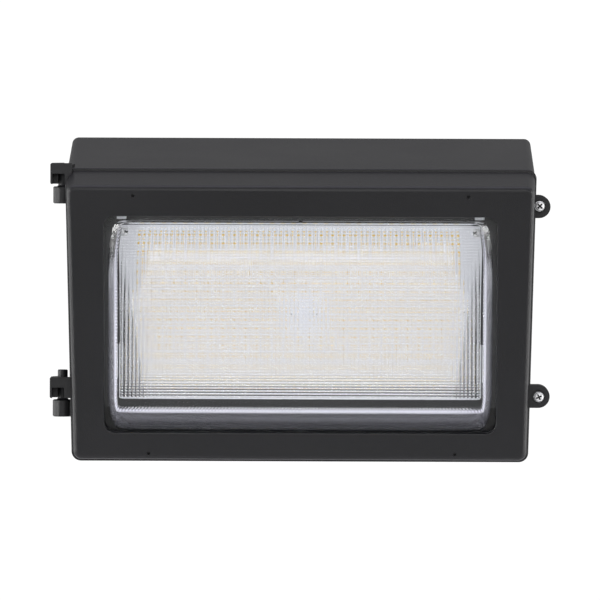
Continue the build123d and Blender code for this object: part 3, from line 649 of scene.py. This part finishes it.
rib_tree, tree, given = geometry_tree("ribs", (("Upright height", "NodeSocketFloat", 0.0004),
                                               ("Level height", "NodeSocketFloat", 0.00024)))


def attribute(name):
    """A float kept on the points of the mesh."""
    made = tree.node("GeometryNodeInputNamedAttribute", data_type="FLOAT")
    made.inputs["Name"].default_value = name
    return made.outputs[0]


def from_middle(tree, counted):
    """How far a place is from the middle of its rib: nothing there, one in the groove."""
    centred = tree.math("SUBTRACT", tree.math("MULTIPLY", tree.math("FRACT", counted), 2.0), 1.0)
    return tree.math("ABSOLUTE", centred)


def arch(counted, height, mark, power):
    """Height of an arch between two whole numbers, only where the mark is set."""
    raised = tree.math("SUBTRACT", 1.0, tree.math("POWER", from_middle(tree, attribute(counted)), power))
    return tree.math("MULTIPLY", tree.math("MULTIPLY", raised, height), attribute(mark))


outwards = arch("across", given["Upright height"], "outside", 2.0)
inwards = arch("upward", given["Level height"], "inside", 6.0)
shift = tree.node("ShaderNodeCombineXYZ")
tree.link(tree.math("SUBTRACT", inwards, outwards), shift.inputs["Y"])
raise_ribs = tree.node("GeometryNodeSetPosition")
tree.link(given["Geometry"], raise_ribs.inputs["Geometry"])
tree.link(shift.outputs[0], raise_ribs.inputs["Offset"])
end_tree(tree, raise_ribs.outputs[0], given["Material"])
print("tree", rib_tree.name, "nodes", len(rib_tree.nodes))


# %% [markdown]
# ### Glass that lets light through
# The glass is a Principled shader with full transmission. Each cell between crossing grooves is a small
# lens, which a bump makes; the grooves get painted shade, most of all near the walls, and the walls and
# rounded edges a painted highlight of white diffuse. Real glass would throw caustics on the board, which
# are slow and noisy, so lamp light passes straight through instead.

# %% Clear glass: masks
WALL_PITCH = 0.0024
CORNER_SIDE, CORNER_HIGH = (0.1275, 0.1295), (0.036, 0.046)
# Painted shade in the glass: its grooves turn dark, in thin lines everywhere and broadly near the side walls
# and the foot.
SHADE_SIDE, SHADE_LEAN = (0.1205, 0.1225), -0.156
SHADE_FOOT = (-0.0592, -0.0615)
CLEAR, GROOVE_SHADE = (0.985, 0.99, 0.99), (0.05, 0.05, 0.06)
RELIEF_HEIGHT = 0.0006
CORNER_ROUGH = 0.13
HIGHLIGHT_WHITE, HIGHLIGHT_SHARE = (0.80, 0.80, 0.92, 1), (0.05, 0.19)
LAMP_TINT = (0.93, 0.94, 0.95, 1)


def pillows_and_groove_shade(tree, beside, height_up):
    """Height of the lens pillows between crossing grooves, and the painted shade in the grooves."""
    pillow = ribbing = tree.kept("outside")
    groove = 0.0
    leaning = tree.math("ADD", beside, tree.math("MULTIPLY", height_up, SHADE_LEAN))
    for counted, power, faint, shade_near_wall in (("across", 2.0, 0.6, tree.ramp(leaning, *SHADE_SIDE)),
                                             ("upward", 3.6, 0.2, tree.ramp(height_up, *SHADE_FOOT))):
        away = from_middle(tree, tree.kept(counted))
        pillow = tree.math("MULTIPLY", pillow, tree.math("SUBTRACT", 1.0, tree.math("POWER", away, power)))
        thin = tree.math("MULTIPLY", tree.math("POWER", away, 10.0), faint)
        broad = tree.math("MULTIPLY", tree.math("POWER", away, 1.6), shade_near_wall)
        groove = tree.math("MAXIMUM", groove, tree.math("MAXIMUM", thin, broad))
    ribbed = tree.math("MINIMUM", tree.math("MULTIPLY", ribbing, 2.0), 1.0)
    return pillow, tree.math("MULTIPLY", ribbed, groove)


# %% Clear glass: shader
def clear_glass():
    """Clear pressed glass with painted shade in its grooves and a painted highlight of white diffuse on its
    ribbed walls, that lets lamp light through to the board.
    """
    material, tree, shader = new_material("clear_glass")
    shader.inputs["Transmission Weight"].default_value = 1.0
    shader.inputs["IOR"].default_value = 1.51
    surface = tree.node("ShaderNodeGroup", node_tree=grain)
    surface.inputs["Grain"].default_value = 160
    surface.inputs["Blotch"].default_value = 25
    at = tree.node("ShaderNodeSeparateXYZ")
    tree.link(tree.node("ShaderNodeTexCoord").outputs["Object"], at.inputs[0])
    beside = tree.math("ABSOLUTE", at.outputs["X"])

    high = tree.ramp(at.outputs["Z"], *CORNER_HIGH)
    top_corner = tree.math("MULTIPLY", tree.ramp(beside, *CORNER_SIDE), high)
    smooth = tree.ramp(surface.outputs["Blotch"], 0.0, 1.0, 0.0, 0.02)
    rough = tree.math("ADD", smooth, tree.math("MULTIPLY", top_corner, CORNER_ROUGH))
    tree.link(rough, shader.inputs["Roughness"])

    # The mark 'wall' is the share of painted highlight; it also sets how far the wall ribs bump.
    wall = tree.kept("wall")
    slope = tree.math("ADD", tree.math("ADD", at.outputs["Y"], at.outputs["Z"]), beside)
    away = from_middle(tree, tree.math("DIVIDE", slope, WALL_PITCH))
    arches = tree.math("SUBTRACT", 1.0, tree.math("MULTIPLY", away, away))
    pillow, dark = pillows_and_groove_shade(tree, beside, at.outputs["Z"])
    soft = tree.math("MULTIPLY", surface.outputs["Height"], 0.02)
    walls = tree.math("MULTIPLY", arches, tree.math("MINIMUM", wall, 0.5))
    bumped(tree, shader, tree.math("ADD", tree.math("ADD", walls, pillow), soft), 1.0, RELIEF_HEIGHT)
    # Painted shade: the colour of the glass turns dark in its grooves.
    tree.link(tree.blend(dark, CLEAR, GROOVE_SHADE), shader.inputs["Base Color"])

    # Painted highlight: white diffuse mixed into the glass on its walls and rounded edges, streaked by the
    # wall ribs.
    painted_highlight = tree.node("ShaderNodeBsdfDiffuse")
    painted_highlight.inputs["Color"].default_value = HIGHLIGHT_WHITE
    glow = tree.math("MULTIPLY", wall, tree.ramp(arches, 0.0, 1.0, *HIGHLIGHT_SHARE))
    ribbed = tree.mix(glow, shader.outputs[0], painted_highlight.outputs[0])
    through = tree.node("ShaderNodeBsdfTransparent")
    through.inputs["Color"].default_value = LAMP_TINT
    rays = tree.node("ShaderNodeLightPath")
    lamp_light = tree.math("MAXIMUM", rays.outputs["Is Shadow Ray"], rays.outputs["Is Diffuse Ray"])
    shown = tree.mix(lamp_light, ribbed, through.outputs[0])
    tree.link(shown, material.node_tree.nodes["Material Output"].inputs["Surface"])
    return material


glass = clear_glass()
ribs = bowl.modifiers.new("ribs", "NODES")
ribs.node_group = rib_tree
set_inputs(ribs, {"Upright height": RIB_HIGH_X / 1000, "Level height": RIB_HIGH_V / 1000, "Material": glass})
plain_mesh(bowl).set_sharp_from_angle(angle=math.radians(30))
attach(bowl, "door")
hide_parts("refractor")
scene.cycles.transmission_bounces = 12
scene.cycles.max_bounces = 16
print("ribbed bowl: triangles", sum(len(p.vertices) - 2 for p in bowl.data.polygons))

# %% [markdown]
# ## Places of the small parts
# The CAD nodes already say where each chip and screw sits. A node with many solids is split into its
# loose pieces, and the middle of each piece is one place. So nothing has to be typed in twice.


# %% Places of the small parts
def places_of(name):
    """Low and high corner of each separate solid of a CAD node."""
    mesh = bmesh.new()
    mesh.from_mesh(nodes[name].data)
    bmesh.ops.remove_doubles(mesh, verts=mesh.verts, dist=1e-6)
    left, found = set(mesh.verts), []
    while left:
        group = [left.pop()]
        for vert in group:
            near = {edge.other_vert(vert) for edge in vert.link_edges} & left
            left -= near
            group.extend(near)
        corners = np.array([nodes[name].matrix_world @ vert.co for vert in group])
        found.append((corners.min(0), corners.max(0)))
    mesh.free()
    return sorted(found, key=lambda pair: tuple(np.round(pair[0], 4)))


def on_face(x, v, w):
    """One place on the door's face as a vector in the frame."""
    return Vector(in_space([(x, v, w)])[0])


def face_place(low, high):
    """Middle of a box, told as x, height up the slope and distance out of the door's face, in millimetres."""
    x, y, z = (low + high) / 2 * 1000
    v = -(y - FACE.y) * math.sin(TILT) + (z - FACE.z) * math.cos(TILT)
    w = -(y - FACE.y) * math.cos(TILT) - (z - FACE.z) * math.sin(TILT)
    return x, v, w


chip_places = [face_place(*pair) for pair in places_of("led_chips")]
print("chips:", len(chip_places), "first:", [round(c, 2) for c in chip_places[0]])

# %% [markdown]
# ## Turned shapes
# Screw heads, washers and wire connectors are turned shapes: a line of radius and height swept round an
# axis. The line is joined at the axis so that both poles are closed. A cross recess is then pressed into
# the top of a head by moving its points, which keeps the head in one closed skin.


# %% Turned shapes
def finished_mesh(mesh, name, sharp=None):
    """A bmesh as mesh data, its faces outwards, and smooth up to an angle in degrees if one is given."""
    bmesh.ops.recalc_face_normals(mesh, faces=mesh.faces)
    data = bpy.data.meshes.new(name)
    mesh.to_mesh(data)
    mesh.free()
    if sharp:
        data.shade_smooth()
        data.set_sharp_from_angle(angle=math.radians(sharp))
    return data


def turned(profile, segments, closed=False, shape=None):
    """A mesh from (radius, height) pairs in millimetres; shape may move each point."""
    mesh = bmesh.new()
    rings = []
    for r, z in profile:
        count = 1 if r < 1e-6 else segments
        ring = []
        for k in range(count):
            a = 2 * math.pi * k / segments
            point = (r * math.cos(a), r * math.sin(a), z)
            ring.append(mesh.verts.new(Vector(shape(*point) if shape else point) / 1000))
        rings.append(ring)
    pairs = list(zip(rings, rings[1:])) + ([(rings[-1], rings[0])] if closed else [])
    for a, b in pairs:
        for k in range(segments):
            n = (k + 1) % segments
            corners = [a[k % len(a)], a[n % len(a)], b[n % len(b)], b[k % len(b)]]
            mesh.faces.new(list(dict.fromkeys(corners)))
    return finished_mesh(mesh, "turned", sharp=35)


def cross_screw(head, height, shank, length, arm, segments=40, rings=14, pitch=0.8):
    """A pan head screw with a cross recess, its seat at height zero and its head upwards."""
    profile = [(0, height)]
    for k in range(1, rings + 1):
        t = k / rings
        profile.append((head * t, height * (0.34 + 0.66 * (1 - t ** 3.6) ** 0.5)))
    profile += [(head * 0.985, 0.0), (shank, 0.0)]
    z, deep = -0.4, True
    while z > -length + pitch:
        profile.append((shank * (0.86 if deep else 1.0), z))
        z, deep = z - pitch / 2, not deep
    profile += [(shank * 0.86, -length + 0.5), (shank * 0.5, -length), (0, -length)]
    width = arm * 0.24

    def recess(x, y, z):
        if z < height * 0.3:
            return x, y, z
        near, far = sorted((abs(x), abs(y)))
        across = min(1.0, max(0.0, (width - near) / (width * 0.5)))
        along = min(1.0, max(0.0, (arm - far) / (arm * 0.35)))
        return x, y, z - height * 0.62 * across * along

    data = turned(profile, segments, shape=recess)
    # The mark 'recess' is where the screw's colour gets painted shade.
    mark = data.attributes.new("recess", "FLOAT", "POINT")
    for vert, value in zip(data.vertices, mark.data):
        near, far = sorted((abs(vert.co.x) * 1000, abs(vert.co.y) * 1000))
        value.value = float(near < width and far < arm and vert.co.z * 1000 > height * 0.2)
    return data


# %% [markdown]
# ## Scattering with Geometry Nodes
# Chips, screws and connectors repeat. One tree takes a mesh of places, puts a template on each, tips it
# to the door's face and turns it by a random angle from a fixed seed. The result is made real and gets
# its material in the tree, then it is baked to one plain mesh per body.

# %% Scatter tree
scatter_tree, tree, given = geometry_tree("scatter", (
    ("Template", "NodeSocketObject", None), ("Tip", "NodeSocketFloat", 0.0), ("Turn", "NodeSocketFloat", 0.0),
    ("Spread", "NodeSocketFloat", 0.0), ("Seed", "NodeSocketInt", 7)))
template = tree.node("GeometryNodeObjectInfo")
tree.link(given["Template"], template.inputs["Object"])
tip = tree.node("ShaderNodeCombineXYZ")
tree.link(given["Tip"], tip.inputs["X"])
put = tree.node("GeometryNodeInstanceOnPoints")
tree.link(given["Geometry"], put.inputs["Points"])
tree.link(template.outputs["Geometry"], put.inputs["Instance"])
tree.link(tip.outputs[0], put.inputs["Rotation"])
chance = tree.node("FunctionNodeRandomValue", data_type="FLOAT")
tree.link(given["Seed"], chance.inputs["Seed"])
angle = tree.math("ADD", given["Turn"], tree.math("MULTIPLY", chance.outputs[1], given["Spread"]))
turn_by = tree.node("ShaderNodeCombineXYZ")
tree.link(angle, turn_by.inputs["Z"])
turn_each = tree.node("GeometryNodeRotateInstances")
tree.link(put.outputs[0], turn_each.inputs["Instances"])
tree.link(turn_by.outputs[0], turn_each.inputs["Rotation"])
end_tree(tree, turn_each.outputs[0], given["Material"])


def scattered(name, template_mesh, places, tip, material, body, node, turn=0.0, spread=0.0, seed=7):
    """One piece with the template on each place, riding a body and standing for a CAD node."""
    data = bpy.data.meshes.new(name)
    data.from_pydata([tuple(place) for place in places], [], [])
    piece = new_piece(name, data)
    source = new_piece(name + "_template", template_mesh)
    modifier = piece.modifiers.new("scatter", "NODES")
    modifier.node_group = scatter_tree
    set_inputs(modifier, {"Template": source, "Tip": tip, "Turn": turn, "Spread": spread, "Seed": seed,
                          "Material": material})
    plain_mesh(piece)
    bpy.data.objects.remove(source)
    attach(piece, body)
    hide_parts(node)
    print(name, "places", len(places), "faces", len(piece.data.polygons))
    return piece


# %% [markdown]
# ## LED chips
# Each chip is a white case with a shallow cup of yellow phosphor. From close by it is a small box with
# a yellow cup, and from afar a coloured dot. A few dozen faces are enough, because there are about five
# hundred of them; the cup is told from the case by an attribute that the material reads.


# %% LED chips
def chip_mesh():
    """A chip of 3.5 by 2.8 mm with a sunk cup, and an attribute that is one in the cup."""
    mesh = bmesh.new()
    mark = mesh.verts.layers.float.new("cup")
    rings = []
    for width, height, z, bevel, cup in (
        (3.5, 2.8, -0.35, 0.12, 0), (3.5, 2.8, 0.31, 0.12, 0), (3.4, 2.7, 0.35, 0.12, 0),
        (3.34, 2.64, 0.35, 0.3, 0), (3.3, 2.6, 0.29, 0.3, 1), (1.6, 1.2, 0.33, 0.3, 1),
    ):
        a, b = width / 2, height / 2
        outline = [(a, b - bevel), (a - bevel, b), (bevel - a, b), (-a, b - bevel),
                   (-a, bevel - b), (bevel - a, -b), (a - bevel, -b), (a, bevel - b)]
        ring = [mesh.verts.new((x / 1000, v / 1000, z / 1000)) for x, v in outline]
        for vert in ring:
            vert[mark] = cup
        rings.append(ring)
    for low, high in zip(rings, rings[1:]):
        band(mesh, low, high)
    mesh.faces.new(rings[0][::-1])
    mesh.faces.new(rings[-1])
    return finished_mesh(mesh, "chip")


def chip_finish():
    """White case and yellow phosphor in one material."""
    material = finish("chip_and_phosphor", (0.80, 0.80, 0.78), (0.86, 0.86, 0.84), (0.35, 0.5), 900, 60, 0.01)
    return second_colour(material, "cup", (0.92, 0.63, 0.09))


FACE_TIP = math.pi / 2 + TILT
chip_spots = [on_face(*place) for place in chip_places]
scattered("chips", chip_mesh(), chip_spots, FACE_TIP, chip_finish(), "door", "led_chips")

# %% [markdown]
# ## Screws
# Cheap plated pan heads with a cross recess hold everything: two big ones close the door, smaller ones
# hold the glass, the tray, the board and the driver. The heads of the door screws are the brightest spots
# on the light, so they get the finest mesh.

# %% Screws of the door
SCREW_SEAT = -0.1328
WASHER = [(2.15, 0.08), (2.25, 0.0), (3.8, 0.0), (3.9, 0.1),
          (3.9, 0.66), (3.76, 0.8), (2.29, 0.8), (2.15, 0.68)]
for body, z_turn in (("upper_screw", 45), ("lower_screw", 25)):
    low, high = places_of(body)[0]
    centre = Vector(((low[0] + high[0]) / 2, SCREW_SEAT, (low[2] + high[2]) / 2))
    big = cross_screw(3.4, 2.6, 2.0, 19.7, 2.3, segments=72, rings=30)
    scattered(body.replace("_", "_door_"), big, [centre], math.pi / 2, screw_zinc, body, body,
              turn=math.radians(z_turn))
    ring = turned(WASHER, 72, closed=True)
    washer = body.replace("screw", "washer")
    scattered(washer + "_ring", ring, [centre + Vector((0, 0.0008, 0))], math.pi / 2, zinc, body, washer)

# %% Small screws
BACK_TIP = FACE_TIP + math.pi


def spots_at(node, seat):
    """Places of a node's solids, at a height out of the door's face in millimetres."""
    return [on_face(x, v, seat) for x, v, _ in (face_place(*pair) for pair in places_of(node))]


for node, head, height, shank, length, arm, seat in (
    ("clip_screws", 2.9, 2.2, 1.25, 7.0, 1.9, -12.0),
    ("carrier_screws", 3.6, 2.6, 1.55, 9.0, 2.3, -20.6),
    ("driver_screws", 3.6, 2.6, 1.8, 5.0, 2.3, -22.6),
    ("lead_clip_screw", 3.2, 2.4, 1.8, 5.0, 2.1, -22.6),
):
    template = cross_screw(head, height, shank, length, arm)
    scattered(node.replace("_screw", "_pan_screw"), template, spots_at(node, seat), BACK_TIP, screw_zinc,
              "door", node, spread=1.5, seed=3)
scattered("board_pan_screws", cross_screw(3.0, 2.0, 1.7, 1.6, 2.0), spots_at("board_screws", -16.0), FACE_TIP,
          screw_zinc, "door", "board_screws", spread=1.5, seed=5)

# %% [markdown]
# ## Clips that hold the glass
# Short strips of spring steel are screwed to the back of the door and press on the flange of the bowl.
# The ones in the upper corners are bright and show through the glass, the others are blackened. A strip
# is a row of cross sections, so that its tip can curl away from the glass.


# %% Glass clips
CLIP_EDGE = 0.12


def closed_stack(mesh, rings):
    """Bands between loops of points, with both ends closed."""
    for low, high in zip(rings, rings[1:]):
        band(mesh, low, high)
    mesh.faces.new(rings[0])
    mesh.faces.new(rings[-1][::-1])


def strip(mesh, x, v, turn, width, sections):
    """A bent strip: sections of (distance along, height of the top, thickness, share of the width)."""
    rings = []
    for along, top, thick, share in sections:
        a, low = width / 2 * share, top - thick
        b = a - CLIP_EDGE
        ring = []
        for side, w in ((-a, top - CLIP_EDGE), (-b, top), (b, top), (a, top - CLIP_EDGE),
                        (a, low + CLIP_EDGE), (b, low), (-b, low), (-a, low + CLIP_EDGE)):
            ring.append(mesh.verts.new(on_face(x + side * math.cos(turn) - along * math.sin(turn),
                                               v + side * math.sin(turn) + along * math.cos(turn), w)))
        rings.append(ring)
    closed_stack(mesh, rings)


def closed_piece(name, mesh, material, body, node, sharp=35):
    """Turns a finished bmesh into a dressed piece."""
    data = finished_mesh(mesh, name, sharp)
    data.materials.append(material)
    piece = new_piece(name, data)
    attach(piece, body)
    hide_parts(node)
    print(name, "faces", len(data.polygons))
    return piece


black_steel = finish("black_spring_steel", (0.010, 0.010, 0.011), (0.020, 0.020, 0.021), (0.5, 0.65),
                     900, 40, 0.02)
bright_steel = finish("bright_spring_steel", (0.74, 0.75, 0.78), (0.86, 0.87, 0.90), (0.42, 0.55),
                      900, 40, 0.01, metal=0.7)
CLIP_BEND = [(-9.6, -11.75, 0.55, 0.70), (-9.4, -11.55, 0.75, 0.86), (-9.2, -11.2, 0.8, 0.98),
             (-7.6, -11.05, 0.85, 1.0), (-5.0, -11.05, 0.9, 1.0), (-3.6, -11.12, 0.85, 1.0),
             (-2.4, -11.12, 0.85, 1.0), (1.2, -11.1, 0.85, 1.0), (2.0, -11.1, 0.85, 0.94),
             (2.4, -11.15, 0.75, 0.78)]
meshes = {"corner": bmesh.new(), "edge": bmesh.new()}
for low, high in places_of("glass_clips"):
    x, v, w = face_place(low, high)
    if abs(x) > 140:
        x, turn = math.copysign(150, x), math.copysign(math.pi / 2, -x)
    else:
        v, turn = math.copysign(88.5, v), 0.0 if v > 0 else math.pi
    corner = v > 80 and abs(x) > 60
    bend = CLIP_BEND
    if v > 80:
        wide = 1.0 if corner else 0.42
        tip_at = -12.8 if corner else -16.2
        bend = [(tip_at, -11.5, 0.4, 0.9 * wide), (tip_at + 0.4, -11.3, 0.6, wide),
                (-10.8, -11.15, 0.8, wide)] + CLIP_BEND[2:]
    strip(meshes["corner" if corner else "edge"], x, v, turn, 7.0, bend)
closed_piece("corner_clips", meshes["corner"], bright_steel, "door", "glass_clips")
closed_piece("edge_clips", meshes["edge"], black_steel, "door", "glass_clips")

# %% [markdown]
# ## Driver
# The driver is a closed case of pressed sheet: a lid over a tray, with a mounting foot at each end. It
# is seen only with the door open. Stacked rounded outlines give the case, with a step where the lid
# overlaps the tray, and long beads stiffen its back.


# %% Driver case
def stacked(mesh, x, v, levels):
    """A closed stack of rounded outlines: levels of (width, height, radius, distance out of the face)."""
    rings = []
    for *size, w in levels:
        rings.append([mesh.verts.new(on_face(x + a, v + b, w)) for a, b in rounded_outline(*size)])
    closed_stack(mesh, rings)


def foot(mesh, x, v, side):
    """A mounting foot with a round hole, at one end of the driver."""
    outline = [(0, -12), (10, -12), (11.6, -11.4), (12.6, -10), (12.6, 10), (11.6, 11.4), (10, 12), (0, 12)]
    around = [2 * math.pi * k / 24 for k in range(24)]
    hole = [(6 + 2.2 * math.cos(a), 2.2 * math.sin(a)) for a in around]
    caps = []
    for w in (-20.7, -22.5):
        caps.append([[mesh.verts.new(on_face(x + side * a, v + b, w)) for a, b in loop]
                     for loop in (outline, hole)])
    for near, far in zip(*caps):
        band(mesh, near, far)
    for loops in caps:
        fill_between(mesh, loops)


driver_x, driver_v = 12.0, -14.0
case = bmesh.new()
stacked(case, driver_x, driver_v, [
    (149.0, 61.0, 2.6, -20.65), (149.6, 61.6, 2.8, -21.0), (149.6, 61.6, 2.8, -30.0),
    (150.0, 62.0, 3.0, -30.1), (150.0, 62.0, 3.0, -52.6), (149.5, 61.5, 2.8, -53.6),
    (148.4, 60.4, 2.4, -54.3), (146.6, 58.6, 2.0, -54.5)])
for side in (-1, 1):
    foot(case, driver_x + side * 75.0, driver_v, side)
for k in range(-2, 3):
    bead = [(132, 5.0, 2.4, -54.3), (131.4, 4.4, 2.1, -54.55), (130.4, 3.4, 1.6, -54.6)]
    stacked(case, driver_x, driver_v + k * 11.0, bead)
closed_piece("driver_case", case, case_sheet, "door", "led_driver")

# %% [markdown]
# ## Leads and connectors
# Stranded leads in coloured insulation run from both ends of the driver: two through a grommet to the
# board, three up to twist-on connectors that wait for the supply. A tube along a rounded line makes a
# better lead than a carved solid, and the connectors are turned cones with grip ribs.


# %% Leads
def rounded_line(corners, radius, steps=10):
    """A polyline in three dimensions with each inner corner rounded."""
    points = [Vector(corners[0])]
    for before, corner, after in zip(corners, corners[1:], corners[2:]):
        corner, a, b = Vector(corner), Vector(before), Vector(after)
        a, b = (a - corner).normalized(), (b - corner).normalized()
        half = a.angle(b) / 2
        reach = radius / math.tan(half)
        middle = corner + (a + b).normalized() * radius / math.sin(half)
        first, last = corner + a * reach - middle, corner + b * reach - middle
        for k in range(steps + 1):
            points.append(middle + first.normalized().slerp(last.normalized(), k / steps) * radius)
    return points + [Vector(corners[-1])]


def lead(name, corners, bend, radius, material):
    """An insulated lead along a rounded line."""
    curve = bpy.data.curves.new(name, "CURVE")
    curve.dimensions = "3D"
    line = rounded_line(corners, bend)
    spline = curve.splines.new("POLY")
    spline.points.add(len(line) - 1)
    for point, at in zip(spline.points, line):
        point.co = (*at, 1)
    curve.bevel_depth = radius
    curve.bevel_resolution = 6
    curve.use_fill_caps = True
    tube = new_piece(name + "_tube", curve)
    bpy.context.view_layer.update()
    data = bpy.data.meshes.new_from_object(tube)
    bpy.data.objects.remove(tube)
    mesh = bmesh.new()
    mesh.from_mesh(data)
    bmesh.ops.remove_doubles(mesh, verts=mesh.verts, dist=1e-6)
    closed_piece(name + "_wire", mesh, material, "door", name, sharp=50)


LEAD_RADIUS = 0.0013
SUPPLY_W, LEAD_END_X, LEAD_END_V = -30.0, 123.0, 46.0
SUPPLY_LEADS = (("line", "black", -26.0, 6.0), ("neutral", "white", -14.0, 0.0),
                ("earth", "green", -2.0, -6.0))
for name, colour, v in (("positive", "red", -17.0), ("negative", "black", -11.0)):
    corners = [on_face(-63.0, v, -34.0), on_face(-98.0, v, -34.0), on_face(-98.0, v, -17.6)]
    lead(name + "_lead", corners, 0.013, LEAD_RADIUS, plastics[colour + "_lead"])
for name, colour, v, shift in SUPPLY_LEADS:
    x = LEAD_END_X + shift
    corners = [on_face(87.0, v, SUPPLY_W), on_face(x, v, SUPPLY_W), on_face(x, LEAD_END_V, SUPPLY_W)]
    lead(name + "_lead", corners, 0.014, LEAD_RADIUS, plastics[colour + "_lead"])

# %% Twist-on connectors
nut_profile = [(0, 0.9), (1.6, 0.9), (2.3, 0.0), (2.84, 0.15), (2.86, 1.6), (2.6, 2.0), (2.62, 3.0),
               (2.7, 3.2), (2.3, 11.0), (2.16, 13.6), (1.7, 14.6), (0.9, 14.95), (0, 15.0)]


def grip(x, y, z):
    """Grip ribs on the skirt of a connector."""
    if not 3.1 < z < 12:
        return x, y, z
    share = 1 + 0.045 * math.cos(12 * math.atan2(y, x)) - 0.03
    return x * share, y * share, z


nut = turned(nut_profile, 72, shape=grip)
nut_places = [on_face(LEAD_END_X + shift, LEAD_END_V, SUPPLY_W) for *_, shift in SUPPLY_LEADS]
scattered("connectors", nut, nut_places, TILT, plastics["orange_plastic"], "door", "wire_nuts", spread=0.5)
